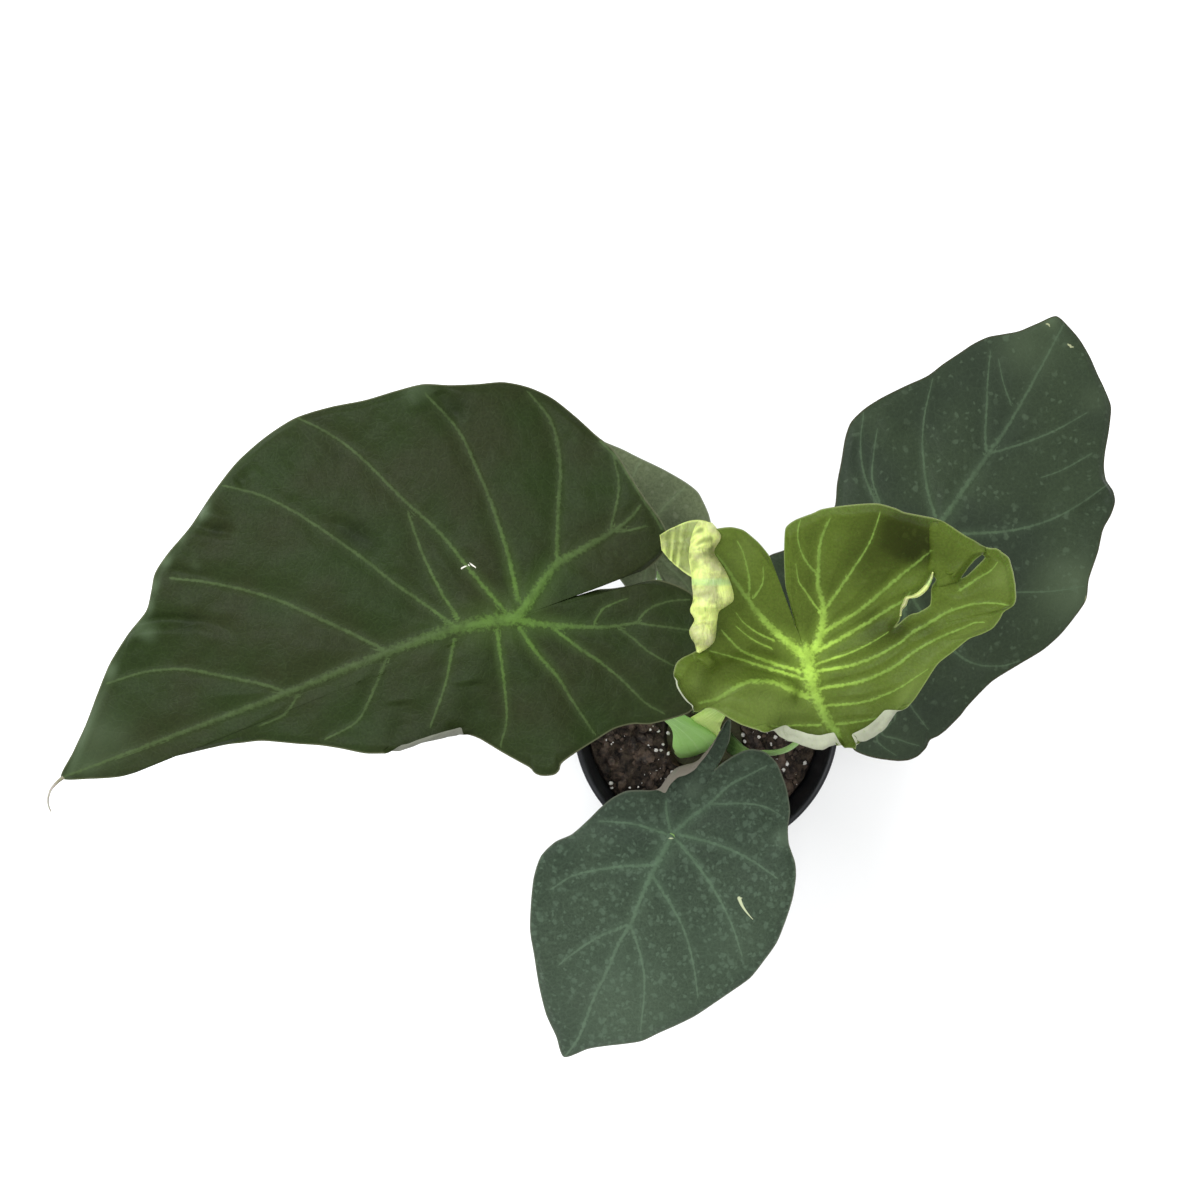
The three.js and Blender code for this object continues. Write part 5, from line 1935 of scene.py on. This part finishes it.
# The youngest leaf: lime green and cupped, with a torn right half and margins that curl up
YOUNG_BLADE = Blade(
    "leaf_young", "young_leaf", (806, 656), (849, 748), 385,
    outline=(
        850, 748, 844, 748, 837, 749, 823, 752, 809, 751, 795, 747, 787, 745, 777, 738, 767, 733, 742, 725,
        727, 717, 714, 709, 705, 708.5, 700, 711, 695, 712, 689, 707, 683, 701, 678, 694, 674, 686,
        673, 676, 676, 664, 682, 658, 694, 652, 703, 645, 708, 630, 708, 610, 712, 590, 707, 570, 703, 552,
        706, 536, 716, 529, 729, 527, 737, 528, 745, 531, 757, 541, 765, 550, 770, 557, 774, 568,
        777.5, 578, 786, 600.5, 790, 612, 795, 626, 789.5, 602, 785.5, 586, 784.5, 571, 784, 551, 785, 530,
        789, 524, 797, 519, 813, 513, 822, 509, 840, 506, 859, 504, 878, 503.5, 895, 508, 904, 512,
        919, 515, 936, 518.5, 948, 524, 963, 534, 975, 541, 983, 546, 991, 548, 997, 548.5, 1003, 553,
        1009, 559, 1013, 571, 1015, 585, 1016, 596, 1014, 605, 1004, 612, 1000, 619, 993, 628, 982, 634,
        969, 639, 953, 652, 938, 664, 926, 682, 914, 700, 899, 716, 887, 729, 876, 738, 863, 745,
        856, 748.5),
    form=Form(4, -13, -11, 6, 2.5, 0.8, pucker=2.4, pucker_reach=14, ripple=0.7, crumple=0.6),
    veins=(
        Vein(17, 15, (806, 652, 808, 664, 810, 676)), Vein(15, 11, (810, 676, 813, 689, 819, 704)),
        Vein(11, 7, (819, 704, 827, 720, 833, 728, 838, 736)),
        Vein(10, 5, (802, 654, 786, 641, 773, 630, 760, 616, 750, 602)),
        Vein(5, 1.8, (750, 602, 734, 580, 725, 566, 716, 554)),
        Vein(2.8, 1.3, (748, 599, 748, 577, 742, 551, 736, 539)),
        Vein(2.4, 1.2, (753, 597, 761, 582, 762, 567)),
        Vein(11, 6.5, (806, 655, 816, 646, 822, 628, 824, 606)),
        Vein(5.5, 2, (824, 606, 819, 590, 818, 575, 819, 549, 825, 528, 830, 518)),
        Vein(2.4, 1.1, (818, 575, 805, 559, 797.5, 542, 796.5, 529, 800, 520)),
        Vein(2.4, 1.1, (820, 612, 804, 589, 797.5, 579, 794.5, 562)),
        Vein(4, 1.4, (825, 609, 839, 589, 850, 573, 870, 541, 881, 511)),
        Vein(5, 1.8, (818, 636, 841, 621, 859, 610, 895, 580, 913, 566, 926, 554.5, 933, 550)),
        Vein(4.6, 1.6, (816, 652, 859, 628, 890, 608, 904, 600, 910, 592)),
        Vein(2.6, 1.1, (816, 664, 849, 653, 870, 643, 888, 632)),
        Vein(3.6, 2.4, (818, 671, 857, 664, 895, 646, 913, 632)),
        Vein(3.8, 1.6, (913, 632, 931, 622, 945, 613, 957.5, 608, 971, 604, 984, 602, 998, 602, 1009, 604)),
        Vein(3.8, 1.4, (820, 689, 862, 681, 895, 666, 915, 651, 936, 639, 949, 633, 962, 628, 975, 622,
            985, 621)),
        Vein(3.2, 1.2, (824, 706, 862, 702, 895, 689, 928, 669)),
        Vein(3, 1.2, (830, 725, 862, 721, 890, 713)),
        Vein(2.8, 1.2, (960, 590, 975, 580, 988, 572, 994, 567, 999, 560)),
        Vein(4, 1.5, (801, 672, 767, 661, 742, 651, 728, 640, 719, 631)),
        Vein(3.6, 1.3, (803, 679, 762, 666, 729, 656, 709, 650)),
        Vein(7, 4.5, (808, 697, 783, 687, 769, 682, 755, 681, 745, 682, 734, 687)),
        Vein(4.5, 3, (734, 687, 725, 694, 716, 699, 699, 703)),
        Vein(3, 1.2, (819, 725, 793, 725, 770, 727)),
        Vein(2.4, 1, (773, 640, 755, 632, 741, 622, 734, 612)),
        Vein(2, 1, (770, 648, 752, 640, 740, 632, 733, 626))),
    curls=(
        Curl((843, 748.5), (764, 732), 12, 205, (3, 24)), Curl((906, 709), (857, 748), 11, 200, (14, 3)),
        Curl((694, 711), (674, 676), 6, 160, (6, 6)), Curl((1002, 552), (1014, 604), 5, 80, (5, 8))),
    folds=(
        Fold(5, 11, (800, 694, 755, 684, 716, 701)), Fold(-5, 12, (785, 671, 735, 667, 695, 688)),
        Fold(3.5, 12, (700, 664, 712, 652)), Fold(2.5, 9, (950, 576, 972, 560)),
        Fold(-2, 8, (960, 588, 992, 566))),
    # The raised flap by the tear is paler and lit with painted light, the part beside it darker, and the
    # lower right margin lighter
    patches=(
        Patch(0.38, 1.8, 1.6, (934, 523, 933, 540, 932.5, 550, 931, 561, 929, 568, 934, 578, 938, 584,
            960, 577, 980, 560, 984, 548, 965, 534, 948, 523)),
        Patch(-0.2, 0.0, 6, (905, 511, 932, 520, 931, 552, 912, 566, 880, 545, 885, 515)),
        Patch(0.3, 0.0, 9, (1016, 606, 995, 632, 970, 643, 941, 668, 917, 704, 889, 733, 864, 748, 866, 728,
            888, 708, 903, 684, 924, 656, 950, 634, 984, 617)),
        Patch(0.16, 0.0, 3, (960, 590, 985, 573, 998, 558, 1012, 566, 1014, 600, 985, 600, 955, 608,
            930, 620, 925, 612))),
    # Painted light on the low fold that faces the light, painted shade above it and round the tear, and a
    # darker upper right
    light_and_tone_spots=(
        (760, 712, 34, 0.42), (720, 700, 16, 0.25), (698, 680, 18, 0.2), (800, 715, 22, 0.2),
        (692, 680, 11, 0.15), (860, 705, 34, 0.2), (935, 650, 30, -0.05), (950, 550, 24, -0.25),
        (905, 690, 30, 0.12), (880, 640, 24, -0.4), (900, 628, 14, -0.55), (925, 628, 12, -0.45),
        (720, 630, 14, -0.4), (905, 528, 40, -0.6), (850, 532, 40, -0.25), (922, 552, 20, -0.4),
        (868, 570, 30, -0.35), (830, 590, 14, -0.2), (735, 560, 26, 0.3), (750, 540, 14, 0.2),
        (960, 560, 20, -0.45), (870, 620, 16, -0.3), (1003, 575, 16, 0.2)),
    tears=(
        (895, 627, 899.5, 620.5, 901, 614, 902, 607, 906.6, 603, 907, 597, 916, 594.6, 923, 588, 929, 579,
            932, 574, 936, 579.5, 932.5, 585, 931, 590, 931, 598, 930, 605, 924.5, 609, 918, 612.5,
            911, 614, 905, 618),
        (982, 554.5, 985, 557.5, 977, 566, 967, 575.5, 961, 578, 968, 568, 975, 560)),
    core_reach=50, half=104, thickness=0.45, seed=51)


# The plant


@dataclass
class DripTip:
    """The pale thread at the tip of the largest leaf, curled down and back."""

    path: Trail = (66, 776, 61, 779, 54.5, 785, 50, 791.5, 48, 800, 49, 807, 51, 811.5)
    heights: Pixel = (286.2, 279.5)
    radii: Pixel = (1.2, 0.4)

    def surface(self) -> Surface:
        """A round thread along the path, which tapers from the first radius to the second.

        Returns:
            The thread.
        """
        share = np.linspace(0, 1, 60)
        line = spaced(spline(pixels(self.path), False), share)
        middle = EYE.place(line, between(self.heights, share**2))
        ahead = unit(np.gradient(middle, axis=0))
        side = unit(np.cross(ahead, (0.0, 0.0, 1.0)))
        above = np.cross(side, ahead)
        turn = around(12)
        radius = between(self.radii, share**0.7)[:, None, None]
        return tube(middle[:, None] + radius * (np.cos(turn)[:, None] * side[:, None]
                                                + np.sin(turn)[:, None] * above[:, None]))


@dataclass
class TornEdge:
    """The pale strip of skin that curls up along the left side of the tear, and the slit beside it."""

    path: Trail = (933, 572, 930.5, 580, 925.5, 588, 919, 594, 913, 596.5, 907, 598, 904.5, 604, 901.5, 609,
                   900.5, 616)
    heights: Pixel = (409.3, 400.6)
    width: float = 3.4

    def surface(self) -> Surface:
        """A ribbon along the path whose cross section is an arc, with value noise in its height.

        Returns:
            The ribbon.
        """
        line = spaced(spline(pixels(self.path), False), np.linspace(0, 1, 80))
        ahead = unit(np.gradient(line, axis=0))
        side = np.stack([-ahead[:, 1], ahead[:, 0]], -1)
        u = np.linspace(-1, 1, 13)[None]
        share = np.linspace(0, 1, 80)[:, None]
        width = 0.5 * self.width * (1 + 0.4 * cloud(share * 60, 0 * share, 6, 71)) * np.sin(
            np.pi * np.clip(share, 0.03, 0.97)) ** 0.4
        spots = line[:, None] + (u * width)[..., None] * side[:, None]
        height = between(self.heights, share) + 1.6 * (1 - u**2)
        height = height + 0.8 * cloud(share * 60 + 0 * u, u * 3 + 9, 5, 72)
        # A steady tone lightens the strip with some of the painted highlight
        return thin_skin(spots, height, np.array(0.6))


MINT_STALK = StalkFinish("large_stalk", (0.42, 0.76, 0.22, 1), paint(104, 138, 80),
                         (0.62, 0.86, 0.42, 1), (0.3, 0.6, 0.14, 1))
LIME_STALK = StalkFinish("young_stalk", (0.8, 1.0, 0.3, 1), paint(158, 200, 96), (0.8, 0.92, 0.4, 1),
                         (0.2, 0.44, 0.04, 1))
SLIM_STALK = StalkFinish("slim_stalk", paint(62, 86, 48), paint(150, 190, 112), paint(150, 184, 110),
                         paint(56, 80, 42), (0.1, 0.24))
PETIOLES = (
    (Petiole("leaf_large", "mature_leaf",
             ((-5, -16.5, 118.3), (-8, -9.5, 150), (-20, 4, 190), (-66, 38, 268), (-107, 67.2, 334)),
             (-4, 10), 28, 13, 1.5, 0.26, 4.6, 0.0, 0.0), MINT_STALK),
    (Petiole("leaf_rear", "grey_leaf",
             ((-1, 7, 118.3), (-4, 13, 156), (-16, 45, 210), (-30, 82, 248), (-38.6, 104, 267.5)),
             (-2, 10), 14, 9, 1, 0.32, 3.2, 0.4), SLIM_STALK),
    (Petiole("leaf_right", "grey_leaf",
             ((15.5, -12, 118.3), (19, -15.5, 148), (31, -16, 178), (49, -8, 202), (76, 32, 235),
              (101.3, 89.4, 261.5)), (10, -1), 12, 6, 1.5, 0.12, 1.8, 0.4), SLIM_STALK),
    (Petiole("leaf_front", "grey_leaf",
             ((2, -29.5, 118.3), (-1, -33, 148), (-13, -47, 183), (-24.4, -62.5, 204.5)), (1, -10),
             14, 9, 1, 0.4, 3.4, 0.4), SLIM_STALK),
    (Petiole("leaf_young", "young_leaf",
             ((1.5, -6, 118.3), (-1, -0.5, 155), (-1, 7, 200), (9, 25, 280), (31.3, 49.3, 384.5)),
             (4, 10), 21, 11, 2.5, 0.42, 4.2, 0.45, 0.6), LIME_STALK),
)

# The rolled margin, by the outlines of the roll and of the flap at its head
YOUNG_ROLL = RolledMargin(
    left=(698, 521, 692, 536, 689, 554, 691, 568, 693, 583, 694, 596, 691, 610, 695, 620, 690, 630,
        691, 637, 695, 644, 697, 652),
    right=(712, 523, 721, 536, 714, 551, 718, 560, 725, 571, 731, 585, 733.5, 599, 727, 605.5, 719, 611,
        717, 620, 716, 630, 714, 641, 707, 648, 699, 653),
    base=(403, 401.5, 400, 399, 400, 401.5), rise=6.2,
    flap_top=(713, 529, 708, 522, 699, 520, 689, 521, 678.5, 525, 668, 530, 660, 535),
    flap_foot=(704, 578, 700, 580, 694, 578, 688, 575, 680, 569, 671, 561, 662, 550),
    flap_heights=(410, 400))


class Studio:
    """The floor, the light and the camera."""

    def floor(self) -> None:
        """A plain pale floor, wide enough for every view."""
        mesh = bpy.data.meshes.new("floor")
        mesh.from_pydata([(-6, -6, 0), (6, -6, 0), (6, 6, 0), (-6, 6, 0)], [], [(0, 1, 2, 3)])
        made, graph, shader = new_material("pale_floor")
        clouds = graph.noise(graph.own(), 3.0, 2.0)
        graph.tree.links.new(graph.mix(clouds, (0.9, 0.9, 0.9, 1), (0.93, 0.93, 0.93, 1)),
                             shader.inputs["Base Color"])
        shader.inputs["Roughness"].default_value = 0.9
        shader.inputs["Specular IOR Level"].default_value = 0.1
        mesh.materials.append(made)
        placed("floor", mesh)

    def lamp(self, name: str, seat: Point, tilt: Pixel, size: float, watts: float) -> None:
        """Hangs a round soft lamp.

        Args:
            name: the lamp's name.
            seat: its place in metres.
            tilt: degrees that it is turned from straight down, about X and about Y.
            size: its width in metres.
            watts: its power.
        """
        lamp = bpy.data.lights.new(name, "AREA")
        lamp.shape = "DISK"
        lamp.size = size
        lamp.energy = watts
        lamp.color = (0.93, 0.97, 1.0)
        made = placed(name, lamp)
        made.location = seat
        made.rotation_euler = (math.radians(tilt[0]), math.radians(tilt[1]), 0)

    def lights(self) -> None:
        """An even white sky, a soft lamp high on the upper left and a weaker one over the plant."""
        world = bpy.data.worlds.new("sky")
        world.use_nodes = True
        colour, strength = world.node_tree.nodes["Background"].inputs[:2]
        colour.default_value = (1.0, 1.0, 1.0, 1.0)
        strength.default_value = 1.1
        bpy.context.scene.world = world
        self.lamp("soft_lamp", (-1.5, 0.6, 2.1), (-16, -36), 1.5, 52.0)
        self.lamp("top_lamp", (-0.07, 0.08, 2.0), (0, 0), 0.4, 8.0)
        bpy.context.scene.view_settings.view_transform = "Standard"


def main() -> None:
    """Builds the scene: the camera and the light, then the pot, the mix, the crown and the leaves."""
    logging.basicConfig(level=logging.INFO, format="%(name)s %(message)s")
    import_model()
    EYE.camera()
    studio = Studio()
    studio.floor()
    studio.lights()
    NurseryPot().build()
    PottingMix().build()
    Crown().build()
    for petiole, finish in PETIOLES:
        petiole.surface().piece(f"{petiole.node}_petiole", finish.material(), petiole.slot, (petiole.node,))
    ages = ((LARGE_BLADE, Growth.MATURE), (REAR_BLADE, Growth.FADED), (RIGHT_BLADE, Growth.GREY),
            (FRONT_BLADE, Growth.SPECKLED), (YOUNG_BLADE, Growth.YOUNG))
    for blade, growth in ages:
        blade.surface().piece(f"{blade.node}_blade", growth.value.material(), blade.slot, (blade.node,))
    # The third colour is the olive painted shade and the fourth the painted highlight
    roll = RollFinish("rolled_margin", paint(228, 243, 138), paint(172, 176, 112), paint(100, 112, 46),
                      paint(212, 214, 156), paint(172, 216, 142), (577, 587)).material()
    Surface.joined([YOUNG_ROLL.surface(), TornEdge().surface()]).piece(
        "leaf_young_roll", roll, "young_leaf", ("leaf_young",))
    thread = StalkFinish("drip_tip", paint(146, 140, 112), paint(206, 196, 186), paint(220, 212, 200),
                         paint(130, 122, 100)).material()
    DripTip().surface().piece("leaf_large_drip_tip", thread, "mature_leaf", ("leaf_large",))


if __name__ == "__main__":
    main()
